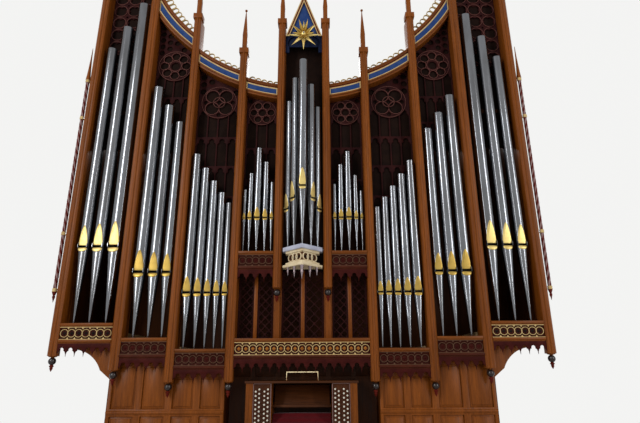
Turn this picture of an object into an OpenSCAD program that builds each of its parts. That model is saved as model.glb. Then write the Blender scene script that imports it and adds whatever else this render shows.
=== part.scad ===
/* [Bays] */
// Centre line to the middle of a centre post
centre_post_x = 432.5; // [400:0.5:470]
// Width of an alcove bay, post centre to post centre
alcove_bay = 745; // [700:5:800]
// Width of an inner bay, post centre to post centre
inner_bay = 960; // [920:5:1040]
// Width of an outer bay, post centre to post centre
outer_bay = 900; // [860:5:980]
// Width of a tower bay, post centre to post centre
tower_bay = 1015; // [980:5:1080]

/* [Case] */
// Depth of the case, from the post fronts to its back
case_d = 1800; // [1500:10:2400]
// Height of the plinth
plinth_h = 150; // [100:5:200]
// Height of the middle rail of the lower case
rail_z = 960; // [800:10:1100]
// Thickness of the boards of walls and panels
board_t = 25; // [18:1:32]
// Thickness of the framing of the case
frame_t = 50; // [40:1:60]
// Width of the stiles and rails of the lower case
stile_w = 110; // [90:5:130]
// Height of the back wall
back_h = 6400; // [5600:50:6600]
// Lower edge of the boards behind the tower screens
tower_back_z = 5600; // [5200:50:5800]

/* [Posts] */
// Width of a post
post_w = 140; // [120:2:150]
// Width of the inner tower posts, which carry the corners
corner_post_w = 160; // [150:2:170]
// Depth of the front half of a post, which hangs before the lower case
post_front_d = 150; // [120:2:160]
// Depth of a whole post
post_d = 300; // [290:2:330]
// Height of the centre of each ball under a post, outer tower posts
outer_tower_ball_z = 1750; // [1700:10:1850]
// Height of the ball under an inner tower post
inner_tower_ball_z = 1530; // [1450:10:1600]
// Height of the ball under a flat post and an alcove post
flat_ball_z = 1345; // [1280:10:1400]
// Height of the ball under a centre post
centre_ball_z = 2840; // [2780:10:2900]
// Diameter of the balls
ball_dia = 120; // [100:2:130]
// Distance from the end of a post to the centre of its ball
ball_drop = 80; // [70:2:90]
// Rise of a post above the cornice on its outer side, to its capital
post_rise = 600; // [500:10:650]
// Height of the capitals of the centre posts
centre_cap_z = 8220; // [8100:10:8400]
// Height of a pinnacle above its capital
pinnacle_h = 1050; // [900:10:1200]

/* [Shelves] */
// Top of the tower shelves
tower_shelf_z = 2350; // [2300:10:2420]
// Top of the outer shelves
outer_shelf_z = 2110; // [2080:10:2160]
// Top of the inner shelves
inner_shelf_z = 1930; // [1900:10:1980]
// Top of the centre shelf
centre_shelf_z = 2090; // [2060:10:2130]
// Top of the alcove shelves
alcove_shelf_z = 3550; // [3500:10:3600]
// Top of the centre corbel
corbel_z = 3600; // [3560:10:3660]
// Height of a shelf with its frieze
shelf_h = 325; // [310:5:350]
// Height of the top and bottom mouldings of a shelf
moulding_h = 60; // [50:2:70]
// Set back of a shelf behind the post fronts
shelf_back = 12; // [5:1:20]
// Depth of the hollow of a frieze behind the mouldings
frieze_sink = 34; // [28:1:40]
// Wanted spacing of the rings in a frieze
ring_pitch = 115; // [105:1:125]
// Wall of a ring, seen from the front
ring_wall = 20; // [16:1:24]
// Height of the rails over and under the rings
ring_rail = 12; // [8:1:18]
// Thickness of the rings and their rails
ring_t = 18; // [14:1:22]
// Height of the valance under a shelf
valance_h = 150; // [130:5:170]
// Wanted spacing of the cusps in a valance
cusp_pitch = 150; // [130:5:170]
// Thickness of the valances
valance_t = 22; // [18:1:28]
// Length of the pendants under a valance
pendant_h = 60; // [40:5:80]
// Width of the mullions under the centre posts
mullion_w = 90; // [70:5:110]
// Width of the muntins between the grilles
muntin_w = 60; // [50:5:70]

/* [Centre Corbel] */
// Half width of the corbel where it leaves the posts
corbel_half = 340; // [320:5:355]
// Heights of the corbel's slab, fillet, frieze, moulding and foot, from the top down
corbel_layers = [70, 40, 160, 40, 40]; // [[60, 30, 150, 30, 30], [80, 50, 170, 50, 50]]
// Wanted spacing of the rings on the corbel
corbel_ring_pitch = 95; // [85:1:105]
// How far the fillet and the moulding of the corbel stand back
corbel_step = 50; // [40:2:55]
// Distance of the drops of the corbel from the centre line
corbel_drops = [0, 130, 245]; // [[0, 120, 235], [0, 140, 255]]
// Reach of the middle drop below the corbel
corbel_drop_h = 240; // [200:10:260]

/* [Cornice] */
// Radius of the sweep of the cornices, seen from the front
sweep_r = 3500; // [3400:10:3800]
// Lowest point of the sweep of the alcove cornices, on the centre line
alcove_sweep_z = 6594; // [6500:2:6700]
// The same for the inner bays
inner_sweep_z = 6705; // [6650:5:6800]
// The same for the outer bays
outer_sweep_z = 6974; // [6900:2:7100]
// Underside of the painted band of the tower cornices
tower_cornice_z = 9350; // [9300:10:9500]
// Height of the painted band
band_h = 146; // [130:2:160]
// Height of the moulding under the painted band
under_h = 67; // [60:1:75]
// Height of the fillet and moulding above the painted band
over_h = 77; // [70:1:85]
// Depth of the cornices
cornice_d = 230; // [200:5:240]
// Height of the cresting
crest_h = 170; // [150:5:190]
// Wanted spacing of the hoops of the cresting
crest_pitch = 130; // [110:5:150]

/* [Screens] */
// Thickness of the tracery
tracery_t = 30; // [24:1:36]
// Width of the bars of the tracery
bar_w = 30; // [24:1:36]
// Wanted height of a tier of lights
tier_h = 620; // [500:20:750]
// Diameter of the wheels of the inner screens
wheel_dia = 700; // [640:5:740]
// Columns of round eyes over a wheel
eye_columns = 5; // [4:1:6]
// Reach of a screen below the top of the shortest pipe before it
screen_lap = 350; // [250:10:450]

/* [Pipes] */
// Body length of the longest pipe
longest_body = 5120; // [4900:10:5300]
// Diameter of the longest pipe
widest_pipe = 207; // [190:1:215]
// Semitones in which the diameter halves
halving = 16; // [15:0.5:18]
// How much wider the alcove pipes are for their note
alcove_widening = 1.2; // [1:0.05:1.3]
// Thickness of the pipe metal
pipe_wall = 3; // [2:0.5:4]
// Foot length of the tower pipes
tower_foot = 1290; // [1200:10:1400]
// Foot length of the outer pipes
outer_foot = 1080; // [1000:10:1180]
// Foot length of the inner pipes
inner_foot = 910; // [850:10:1000]
// Foot length of the alcove pipes
alcove_foot = 590; // [540:10:640]
// Foot length of the middle pipe of the centre tower
centre_foot = 1040; // [1000:10:1100]
// How much shorter the feet beside the middle pipe are
inner_foot_less = 175; // [120:5:220]
// How much shorter the feet of the outermost centre pipes are
outer_foot_less = 345; // [300:5:400]
// How much wider the centre pipes are for their note
centre_widening = 1.16; // [1:0.02:1.2]
// Distance of the pipes beside the middle one from the centre line
inner_pipe_x = 146; // [142:1:155]
// Distance of the outermost centre pipes from the centre line
outer_pipe_x = 260; // [255:1:275]
// Distance of the centre of the pipes behind the post fronts
pipe_y = 140; // [130:1:145]

/* [Star And Gable] */
// Height of the centre of the star
star_z = 7900; // [7850:10:7950]
// Diameter of the star, tip to tip
star_dia = 670; // [600:10:680]
// Number of long points of the star
star_points = 8; // [6:1:10]
// Diameter of the hub of the star
hub_dia = 148; // [130:2:160]
// Width of the rays of the star at the hub, corner to corner
ray_w = 90; // [70:2:96]
// Lean of every second ray toward the front
ray_lean = 40; // [30:5:50]
// Radius of the axle of the star
axle_r = 15; // [10:0.5:20]
// Running clearance of the star on its axle
axle_gap = 0.05; // [0.02:0.01:0.1]
// Underside of the gable
gable_z = 7950; // [7900:10:8000]
// Height of the gable, from its foot to its apex
gable_h = 1040; // [900:10:1150]
// Depth of the arch under the gable
arch_h = 360; // [340:5:380]
// Height of the finial on the gable
finial_h = 450; // [350:10:500]

/* [Side Shafts] */
// Clear gap between an outer post and its shaft
shaft_gap = 40; // [25:1:60]
// Diameter of the shafts
shaft_dia = 62; // [50:1:75]
// Lower end of the shafts
shaft_z0 = 2870; // [2800:10:2950]
// Top of the shafts, under their finials
shaft_z1 = 6980; // [6900:10:7060]
// Length of the spire on a shaft
shaft_tip_h = 720; // [600:20:800]
// Length of the drop under a shaft
shaft_drop_h = 180; // [140:10:220]
// Height of the bands round a shaft
shaft_band_h = 60; // [50:2:80]
// Height of the lower band
low_band_z = 3860; // [3800:10:3950]
// Height of the upper band
high_band_z = 6120; // [6050:10:6200]

/* [Console] */
// Width of the console
console_w = 1750; // [1650:10:1900]
// Top of the console
console_top_z = 1430; // [1380:10:1480]
// Clear width between the stop jambs
key_gap = 950; // [900:10:1000]
// Distance of the console front before the post fronts
console_out = 60; // [20:5:120]
// Height of the underside of the stop jambs
jamb_z = 690; // [660:5:705]
// Depth of the recess behind the post fronts
recess_d = 640; // [600:10:760]
// Height of the top of the lowest keys
key_z = 790; // [760:5:820]
// Number of keyboards
manuals = 3; // [2:1:3]
// Width of a stop knob
knob_dia = 30; // [26:1:32]
// Rows of stop knobs in each jamb
knob_rows = 8; // [6:1:9]
// Reach of the pedalboard before the post fronts
pedal_out = 800; // [760:10:950]
// Number of long keys of the pedalboard
pedal_keys = 18; // [15:1:19]
// Spacing of the long keys of the pedalboard
pedal_pitch = 63; // [60:1:64]

/* [Hidden] */
$fn = 48;

// The case frame has its y zero at the post fronts; the whole part is centred front to back
total_d = case_d + pedal_out;
face_y = -total_d / 2 + pedal_out;

// Post centres, from the middle outward
alcove_post_x = centre_post_x + alcove_bay;
flat_post_x = alcove_post_x + inner_bay;
inner_tower_x = flat_post_x + outer_bay;
outer_tower_x = inner_tower_x + tower_bay;

// Clear widths of the bays, from edge to edge
centre_bay_x = centre_post_x - post_w / 2;
centre_span = [post_w / 2 - alcove_post_x, alcove_post_x - post_w / 2];
alcove_x = [centre_post_x + post_w / 2, alcove_post_x - post_w / 2];
inner_x = [alcove_post_x + post_w / 2, flat_post_x - post_w / 2];
outer_x = [flat_post_x + post_w / 2, inner_tower_x - corner_post_w / 2];
tower_x = [inner_tower_x + corner_post_w / 2, outer_tower_x - post_w / 2];
lower_half = inner_tower_x + corner_post_w / 2;
upper_half = outer_tower_x + post_w / 2;

// Planes of the case, behind the post fronts
field_y = shelf_back + frieze_sink;
screen_y = post_d - tracery_t;
frame_y = post_front_d;
capital_h = 110;
capital_out = 20;

// Lowest points of the posts
function post_foot(ball_z) = ball_z + ball_drop;
function sweep_z(x, base) = base + sweep_r - sqrt(sweep_r * sweep_r - x * x);
alcove_cap_z = sweep_z(inner_x[0], inner_sweep_z) + post_rise;
flat_cap_z = sweep_z(outer_x[0], outer_sweep_z) + post_rise;
tower_cap_z = tower_cornice_z + post_rise;

// Pipe scale: n counts semitones down from the longest pipe
function body_len(n) = longest_body * pow(2, -n / 12);
function pipe_dia(n, wide = 1) = widest_pipe * wide * pow(2, -n / halving);
function sum_to(v, k) = k <= 0 ? 0 : v[k - 1] + sum_to(v, k - 1);
function dias(notes, wide = 1) = [for (n = notes) pipe_dia(n, wide)];
function even_gap(d, span) = (span[1] - span[0] - sum_to(d, len(d))) / (len(d) + 1);
function pipe_x(d, i, span) = span[0] + even_gap(d, span) * (i + 1) + sum_to(d, i) + d[i] / 2;

// Notes of each bay from the middle outward, on the left; the right is a semitone higher
tower_notes = [0, 2, 4];
outer_notes = [10, 8, 6];
inner_notes = [20, 18, 16, 14, 12];
alcove_notes = [35, 27, 23, 31, 39];
centre_notes = [15, 13, 12, 14, 16];
function raised(notes, side) = [for (n = notes) n + (side > 0 ? 1 : 0)];

// Proportions of a mouth, as shares of the pipe's diameter
lip_half = 0.37;
lip_high = 2.05;
lip_press = 0.2;
mouth_high = 0.2;
mouth_half = 0.395;
low_lip = 0.42;
toe_share = 0.14;

// Depth of the leaning lip behind the front of the pipe, at the tip of its leaf
tip_press = 1.2;
gilt_t = 1;

module in_case() {
    translate([0, face_y, 0])
        children();
}

// Draws its children on both sides of the centre line
module both_sides() {
    children();
    mirror([1, 0, 0])
        children();
}

// Stands a drawing in x and z upright and gives it the depth y0 to y1
module upright(y0, y1) {
    translate([0, y1, 0])
        rotate([90, 0, 0])
            linear_extrude(y1 - y0)
                children();
}

// Runs a profile in y and z from x0 to x1
module along_x(x0, x1) {
    translate([x0, 0, 0])
        rotate([90, 0, 90])
            linear_extrude(x1 - x0)
                children();
}

module block(x, y, z) {
    translate([x[0], y[0], z[0]])
        cube([x[1] - x[0], y[1] - y[0], z[1] - z[0]]);
}

// Lower case

module plinth() {
    color("saddlebrown")
        in_case()
            difference() {
                block([-lower_half, lower_half], [frame_y - 30, case_d], [0, plinth_h]);
                block([-inner_x[0], inner_x[0]], [frame_y - 31, recess_d], [-1, plinth_h + 1]);
            }
}

// One bay of framing: stiles at both ends and in the middle, rails between them
module frame_bay(x, top_z) {
    mid = (x[0] + x[1]) / 2;
    difference() {
        block(x, [frame_y, frame_y + frame_t], [plinth_h, top_z]);
        for (px = [[x[0] + stile_w / 2, mid - stile_w / 2], [mid + stile_w / 2, x[1] - stile_w / 2]])
            for (pz = panel_spans(top_z))
                block(px, [frame_y - 1, frame_y + frame_t + 1], pz);
    }
}

function panel_spans(top_z) = [
    [plinth_h + stile_w, rail_z - stile_w / 2],
    [rail_z + stile_w / 2, top_z - stile_w]];
function bay_top(shelf_z) = shelf_z - shelf_h;
inner_frame_x = [inner_x[0], flat_post_x];
outer_frame_x = [flat_post_x, lower_half];

module lower_frame() {
    color("sienna")
        in_case()
            both_sides() {
                frame_bay(inner_frame_x, bay_top(inner_shelf_z));
                frame_bay(outer_frame_x, bay_top(outer_shelf_z));
                along_x(inner_x[0], lower_half)
                    translate([frame_y, rail_z])
                        rail_moulding();
            }
}

module rail_moulding() {
    polygon([[1, -28], [1, 28], [-10, 28], [-24, 14], [-24, 0], [-8, -28]]);
}

// Fielded panels, each held in its frame opening
module panel_pair(x, top_z) {
    mid = (x[0] + x[1]) / 2;
    for (px = [[x[0] + stile_w / 2, mid - stile_w / 2], [mid + stile_w / 2, x[1] - stile_w / 2]])
        for (pz = panel_spans(top_z)) {
            block(px, [frame_y + frame_t - board_t, frame_y + frame_t], pz);
            block([px[0] + 35, px[1] - 35],
                [frame_y + frame_t - board_t - 10, frame_y + frame_t - board_t + 1],
                [pz[0] + 35, pz[1] - 35]);
        }
}

module lower_panels() {
    color("peru")
        in_case()
            both_sides() {
                panel_pair(inner_frame_x, bay_top(inner_shelf_z));
                panel_pair(outer_frame_x, bay_top(outer_shelf_z));
            }
}

recess_top_z = centre_shelf_z - shelf_h;
recess_panel_w = centre_post_x;

// Panelling round the console: a back and two cheeks
module recess_panelling() {
    half = inner_x[0];
    color("sienna")
        in_case() {
            difference() {
                block([-half, half], [recess_d, recess_d + frame_t], [plinth_h, recess_top_z]);
                for (i = [-3:2])
                    block([i * recess_panel_w + muntin_w * 0.7, (i + 1) * recess_panel_w - muntin_w * 0.7],
                        [recess_d - 1, recess_d + frame_t - board_t],
                        [console_top_z + 60, recess_top_z - 60]);
            }
            both_sides() {
                block([half, half + board_t], [frame_y + frame_t, recess_d + frame_t],
                    [plinth_h, bay_top(inner_shelf_z)]);
                block([half, half + board_t], [post_d, recess_d + frame_t],
                    [bay_top(inner_shelf_z) - 1, recess_top_z]);
            }
        }
}

module side_walls() {
    color("sienna")
        in_case()
            both_sides() {
                block([lower_half - board_t, lower_half], [frame_y + frame_t, case_d - board_t],
                    [plinth_h, bay_top(tower_shelf_z)]);
                block([upper_half - board_t, upper_half], [post_d, case_d - board_t],
                    [bay_top(tower_shelf_z), tower_cornice_z]);
            }
}

module back_wall() {
    color("saddlebrown")
        in_case() {
            block([-lower_half, lower_half], [case_d - board_t, case_d],
                [plinth_h, bay_top(tower_shelf_z)]);
            block([-upper_half, upper_half], [case_d - board_t, case_d],
                [bay_top(tower_shelf_z), back_h]);
            screen_backs();
        }
}

// Boards right behind the tracery and the centre pipes, held against the backs of the posts
module screen_backs() {
    lap = post_w / 2 - board_t - 5;
    both_sides() {
        for (b = [[alcove_x, alcove_screen_z, alcove_sweep_z], [inner_x, inner_screen_z, inner_sweep_z],
                [outer_x, outer_screen_z, outer_sweep_z]])
            upright(post_d, post_d + board_t)
                under_sweep([b[0][0] - lap, b[0][1] + lap], b[1], b[2])
                    translate([b[0][0] - lap, b[1]])
                        square([b[0][1] - b[0][0] + 2 * lap, sweep_r]);
        block([tower_x[0] - lap, tower_x[1] + lap], [post_d, post_d + board_t],
            [tower_back_z, tower_cornice_z + band_h]);
    }
    block([-centre_bay_x - lap, centre_bay_x + lap], [post_d, post_d + board_t],
        [corbel_z - corbel_h, gable_z + board_t]);
}

// Wind chests under the pipes, from the shelves to the back wall
module soundboards() {
    chest_h = 200;
    wall = board_t;
    color("burlywood")
        in_case() {
            both_sides() {
                block([lower_half, upper_half - wall], [post_d, case_d - wall],
                    [bay_top(tower_shelf_z), bay_top(tower_shelf_z) + chest_h]);
                block([flat_post_x, lower_half - wall], [post_d, case_d - wall],
                    [bay_top(outer_shelf_z), bay_top(outer_shelf_z) + chest_h]);
            }
            block([-flat_post_x, flat_post_x], [recess_d + frame_t, case_d - wall],
                [bay_top(inner_shelf_z), bay_top(inner_shelf_z) + chest_h]);
        }
}

// Arched braces that carry the overhang of the towers
module knee_brace_outline() {
    reach = tower_bay * 0.62;
    drop = 560;
    top = bay_top(tower_shelf_z);
    difference() {
        polygon([[lower_half, top], [lower_half + reach, top], [lower_half + reach, top - 60],
            [lower_half, top - drop]]);
        translate([lower_half + reach + 40, top - drop - 60])
            circle(r = drop - 30);
    }
}

module knee_braces() {
    color("peru")
        in_case()
            both_sides() {
                upright(frame_y, frame_y + 90)
                    knee_brace_outline();
                upright(case_d - 90, case_d)
                    knee_brace_outline();
            }
}

// Posts

// Section of a post: a flat body with a narrower roll on its face
module post_section(w, d) {
    roll = w * 0.3;
    difference() {
        translate([-w / 2, 0])
            square([w, d]);
        for (s = [-1, 1])
            translate([s * w / 2, 0])
                rotate(45)
                    square(w * 0.24, center = true);
    }
    translate([0, 4])
        intersection() {
            circle(d = roll);
            translate([-roll, -roll / 2])
                square([2 * roll, roll]);
        }
}

module post(x, w, z0, back_z0, z1) {
    translate([x, 0, z0])
        linear_extrude(z1 - z0)
            post_section(w, post_front_d);
    block([x - w / 2, x + w / 2], [post_front_d - 1, post_d], [back_z0, z1]);
}

module tower_posts_outer() {
    color("chocolate")
        in_case()
            both_sides()
                post(outer_tower_x, post_w, post_foot(outer_tower_ball_z),
                    bay_top(tower_shelf_z), tower_cap_z);
}

module tower_posts_inner() {
    color("chocolate")
        in_case()
            both_sides()
                post(inner_tower_x, corner_post_w, post_foot(inner_tower_ball_z),
                    bay_top(tower_shelf_z), tower_cap_z);
}

// The posts either side of the inner bays
module flat_posts() {
    color("chocolate")
        in_case()
            both_sides() {
                post(flat_post_x, post_w, post_foot(flat_ball_z), bay_top(outer_shelf_z), flat_cap_z);
                post(alcove_post_x, post_w, post_foot(flat_ball_z), recess_top_z, alcove_cap_z);
            }
}

// The centre posts end in drops, and a slimmer mullion goes on down behind each
module centre_posts() {
    foot_z = post_foot(centre_ball_z);
    color("chocolate")
        in_case()
            both_sides() {
                post(centre_post_x, post_w, foot_z, foot_z, centre_cap_z);
                block([centre_post_x - mullion_w / 2, centre_post_x + mullion_w / 2],
                    [post_front_d, screen_y + 1], [centre_shelf_z, foot_z + 1]);
                block([centre_post_x - post_w / 2, centre_post_x + post_w / 2],
                    [screen_y, post_d], [centre_shelf_z, foot_z + 1]);
            }
}

post_places = [
    [outer_tower_x, outer_tower_ball_z, tower_cap_z],
    [inner_tower_x, inner_tower_ball_z, tower_cap_z],
    [flat_post_x, flat_ball_z, flat_cap_z],
    [alcove_post_x, flat_ball_z, alcove_cap_z],
    [centre_post_x, centre_ball_z, centre_cap_z]];
drop_y = post_front_d / 2;

// A turned drop: a cap under the post and a pointed tip under the ball
module drop_shape() {
    r = ball_dia / 2;
    translate([0, 0, r - 6])
        cylinder(r1 = r * 0.7, r2 = r * 1.15, h = ball_drop - r + 6);
    translate([0, 0, -r - 60])
        cylinder(r1 = r * 0.35, r2 = r * 0.6, h = 68);
    translate([0, 0, -r - 100])
        cylinder(r1 = 2, r2 = r * 0.35, h = 40);
}

module post_drops() {
    color("chocolate")
        in_case()
            both_sides()
                for (p = post_places)
                    translate([p[0], drop_y, p[1]])
                        difference() {
                            drop_shape();
                            sphere(d = ball_dia);
                        }
}

module drop_balls() {
    color("gold")
        in_case()
            both_sides()
                for (p = post_places)
                    translate([p[0], drop_y, p[1]])
                        sphere(d = ball_dia);
}

// A capital with a square shaft and a steep spirelet
module pinnacle(w) {
    shaft_h = pinnacle_h * 0.3;
    spire_w = w * 0.62;
    translate([0, drop_y, 0]) {
        translate([-w / 2 - capital_out, -drop_y - capital_out, 0])
            cube([w + 2 * capital_out, post_front_d + 2 * capital_out, capital_h]);
        translate([-spire_w / 2, -spire_w / 2, capital_h])
            cube([spire_w, spire_w, shaft_h]);
        translate([0, 0, capital_h + shaft_h])
            rotate(45)
                cylinder(d1 = spire_w * 1.5, d2 = 12, h = pinnacle_h - shaft_h - capital_h, $fn = 4);
        translate([0, 0, pinnacle_h])
            sphere(r = 26);
    }
}

module pinnacles() {
    color("peru")
        in_case()
            both_sides()
                for (i = [0:4])
                    translate([post_places[i][0], 0, post_places[i][2]])
                        pinnacle(i == 1 ? corner_post_w : post_w);
}

// Shelves

// Profile of a shelf in y and z, with its top edge at z = 0
module shelf_profile(h, back) {
    difference() {
        translate([shelf_back, -h])
            square([back - shelf_back, h]);
        translate([shelf_back - 1, moulding_h - h])
            square([frieze_sink + 1, h - 2 * moulding_h]);
        translate([shelf_back, -moulding_h])
            circle(r = moulding_h * 0.3);
        translate([shelf_back, -h])
            circle(r = moulding_h * 0.4);
    }
}

module shelf(x, z, back = post_d) {
    along_x(x[0], x[1])
        translate([0, z])
            shelf_profile(shelf_h, back);
}

module tower_shelves() {
    color("tan")
        in_case()
            both_sides()
                shelf(tower_x, tower_shelf_z);
}

module flat_shelves() {
    color("peru")
        in_case() {
            both_sides() {
                shelf(outer_x, outer_shelf_z);
                shelf(inner_x, inner_shelf_z);
                shelf(alcove_x, alcove_shelf_z);
            }
            shelf(centre_span, centre_shelf_z);
        }
}

// Plan of the corbel, grown by out: a neck between the posts and a point before them
module corbel_plan(out) {
    half = corbel_half + out;
    polygon([[-centre_bay_x, post_d], [-centre_bay_x, post_front_d], [-half, post_front_d],
        [-half, shelf_back], [0, shelf_back - half], [half, shelf_back],
        [half, post_front_d], [centre_bay_x, post_front_d], [centre_bay_x, post_d]]);
}

corbel_h = sum_to(corbel_layers, len(corbel_layers));
corbel_outs = [0, -corbel_step, -2 * corbel_step, -corbel_step, 0];
function corbel_y(x, out) = shelf_back - corbel_half - out + abs(x);

// A drop that tapers to a point below z = 0
module turned_drop(h, r) {
    translate([0, 0, -h * 0.4])
        cylinder(r1 = r * 0.4, r2 = r, h = h * 0.4 + 1);
    translate([0, 0, -h * 0.55])
        cylinder(r = r * 0.62, h = h * 0.2);
    translate([0, 0, -h])
        cylinder(r1 = 2, r2 = r * 0.55, h = h * 0.5);
}

module centre_corbel() {
    color("ivory")
        in_case() {
            for (i = [0:len(corbel_layers) - 1])
                translate([0, 0, corbel_z - sum_to(corbel_layers, i + 1)])
                    linear_extrude(corbel_layers[i])
                        corbel_plan(corbel_outs[i]);
            translate([0, 0, corbel_z - corbel_h])
                for (x = corbel_drops, s = x == 0 ? [1] : [-1, 1])
                    translate([s * x, corbel_y(x, -corbel_step), 0])
                        turned_drop(corbel_drop_h - x * 0.4, 40 - x * 0.05);
        }
}

// Places of the rings of a frieze, which stay a ring wall clear of the posts
function ring_count(x, pitch) = max(1, round((x[1] - x[0] - 2 * ring_wall) / pitch));
function ring_step(x, pitch) = (x[1] - x[0] - 2 * ring_wall) / ring_count(x, pitch);
function ring_places(x, pitch) = [
    for (i = [0:ring_count(x, pitch) - 1]) x[0] + ring_wall + ring_step(x, pitch) * (i + 0.5)];

// Rings that run into each other, and two rails, drawn in x and z round z = 0
module ring_strip(x, h, pitch = ring_pitch) {
    step = ring_step(x, pitch);
    r = (step + ring_wall) / 2;
    for (cx = ring_places(x, pitch))
        translate([cx, 0])
            difference() {
                circle(r = r);
                circle(r = r - ring_wall);
            }
    for (z = [-h / 2, h / 2 - ring_rail])
        translate([x[0], z])
            square([x[1] - x[0], ring_rail]);
    for (i = [1:1:ring_count(x, pitch) - 1], s = [-1, 1])
        translate([x[0] + ring_wall + step * i, 0])
            polygon([[0, s * r * 0.35], [r * 0.5, s * (h / 2 - 1)], [-r * 0.5, s * (h / 2 - 1)]]);
}

// Diamond bosses, one inside each ring
module boss_row(x, pitch = ring_pitch) {
    for (cx = ring_places(x, pitch))
        translate([cx, 0])
            circle(d = ring_step(x, pitch) * 0.34, $fn = 4);
}

frieze_h = shelf_h - 2 * moulding_h;
frieze_bays = [
    [tower_x, tower_shelf_z], [outer_x, outer_shelf_z], [inner_x, inner_shelf_z],
    [alcove_x, alcove_shelf_z]];

module frieze(x, z) {
    translate([0, 0, z - shelf_h / 2])
        upright(field_y - ring_t, field_y) {
            ring_strip(x, frieze_h);
            boss_row(x);
        }
}

// The rings on the two slanting sides of the corbel
module corbel_frieze() {
    z = corbel_z - sum_to(corbel_layers, 2) - corbel_layers[2] / 2;
    side = (corbel_half - 2 * corbel_step) * sqrt(2);
    for (s = [0, 1])
        mirror([s, 0, 0])
            translate([0, corbel_y(0, -2 * corbel_step), z])
                rotate(45)
                    upright(-ring_t, 0) {
                        ring_strip([8, side - 8], corbel_layers[2] - 4, corbel_ring_pitch);
                        boss_row([8, side - 8], corbel_ring_pitch);
                    }
}

module ring_friezes() {
    color("gold")
        in_case() {
            corbel_frieze();
            both_sides()
                for (b = frieze_bays)
                    frieze(b[0], b[1]);
            frieze(centre_span, centre_shelf_z);
        }
}

// Cusped valance drawn in x and z, hanging from z = 0
module valance_strip(x) {
    span = x[1] - x[0];
    count = max(1, round(span / cusp_pitch));
    pitch = span / count;
    difference() {
        translate([x[0], -valance_h])
            square([span, valance_h]);
        for (i = [0:count - 1])
            translate([x[0] + pitch * (i + 0.5), -valance_h]) {
                for (s = [-1, 1])
                    translate([s * pitch * 0.19, 0])
                        circle(r = pitch * 0.25);
                translate([0, pitch * 0.34])
                    circle(r = pitch * 0.25);
            }
    }
}

// Small pendants under the feet of a valance
module pendants(x, y) {
    count = max(1, round((x[1] - x[0]) / cusp_pitch));
    for (i = [1:1:count - 1])
        translate([x[0] + (x[1] - x[0]) * i / count, y, 1 - valance_h])
            turned_drop(pendant_h, valance_t * 0.45);
}

module valance(x, z) {
    y0 = shelf_back + 20;
    translate([0, 0, z - shelf_h]) {
        upright(y0, y0 + valance_t)
            valance_strip(x);
        pendants(x, y0 + valance_t / 2);
    }
}

module valances() {
    color("saddlebrown")
        in_case() {
            both_sides()
                for (b = frieze_bays)
                    valance(b[0], b[1]);
            valance(centre_span, centre_shelf_z);
        }
}

// Cornices

// Part of a ring under its own centre, between two radii and two places in x
module sweep_part(x, base, below, above) {
    intersection() {
        translate([0, base + sweep_r])
            difference() {
                circle(r = sweep_r + below, $fn = 180);
                circle(r = sweep_r - above, $fn = 180);
            }
        translate([x[0], base - 200])
            square([x[1] - x[0], sweep_r + 200]);
    }
}

module swept(x, base, y0, below, above) {
    upright(y0, screen_y)
        sweep_part(x, base, below, above);
}

cornice_y = screen_y - cornice_d;
swept_bays = [
    [alcove_x, alcove_sweep_z], [inner_x, inner_sweep_z], [outer_x, outer_sweep_z]];

// Each moulding from its lower to its upper edge over the foot of the band, and its set back
mouldings = [
    [-under_h, -under_h * 0.45, 45], [-under_h * 0.45, 0, 20],
    [band_h, band_h + over_h * 0.3, 34], [band_h + over_h * 0.3, band_h + over_h * 0.6, 14],
    [band_h + over_h * 0.6, band_h + over_h, 0]];

// Mouldings under and over the painted bands, swept in the flats and straight on the towers
module cornices() {
    color("sienna")
        in_case()
            both_sides() {
                for (b = swept_bays, m = mouldings)
                    swept(b[0], b[1], cornice_y + m[2], -m[0], m[1]);
                for (m = mouldings)
                    block(tower_x, [cornice_y + m[2], screen_y],
                        [tower_cornice_z + m[0], tower_cornice_z + m[1]]);
            }
}

module painted_bands() {
    color("royalblue")
        in_case()
            both_sides() {
                for (b = swept_bays)
                    swept(b[0], b[1], cornice_y + 30, 0, band_h);
                block(tower_x, [cornice_y + 30, screen_y], [tower_cornice_z, tower_cornice_z + band_h]);
            }
}

// One hoop of the cresting, standing on z = 0
module crest_hoop(pitch) {
    r = pitch / 2;
    difference() {
        union() {
            translate([1 - r, 0])
                square([pitch - 2, crest_h - r]);
            translate([0, crest_h - r])
                circle(r = r - 4);
        }
        translate([0, crest_h - r])
            circle(r = r - 17);
        translate([19 - r, crest_h * 0.2])
            square([pitch - 38, crest_h * 0.8 - r]);
    }
}

module crest_row(x, base, top_r) {
    centre_z = base + sweep_r;
    a0 = asin(x[0] / top_r);
    a1 = asin(x[1] / top_r);
    length = (a1 - a0) * PI / 180 * top_r;
    count = max(1, round(length / crest_pitch));
    intersection() {
        for (i = [0:count - 1])
            let (a = a0 + (a1 - a0) * (i + 0.5) / count)
                translate([top_r * sin(a), centre_z - top_r * cos(a)])
                    rotate(a)
                        translate([0, -crest_h * 0.1])
                            crest_hoop(length / count + 6);
        sweep_part(x, base, -band_h - over_h, band_h + over_h + 2 * crest_h);
    }
}

module cresting() {
    y0 = screen_y - 60;
    color("peru")
        in_case()
            both_sides() {
                for (b = swept_bays)
                    upright(y0, y0 + 30)
                        crest_row(b[0], b[1], sweep_r - band_h - over_h);
                upright(y0, y0 + 30)
                    translate([0, tower_cornice_z + band_h + over_h])
                        tower_crest();
            }
}

module tower_crest() {
    span = tower_x[1] - tower_x[0];
    count = max(1, round(span / crest_pitch));
    pitch = span / count;
    for (i = [0:count - 1])
        translate([tower_x[0] + pitch * (i + 0.5), 0])
            crest_hoop(pitch);
}

// Tracery screens

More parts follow.
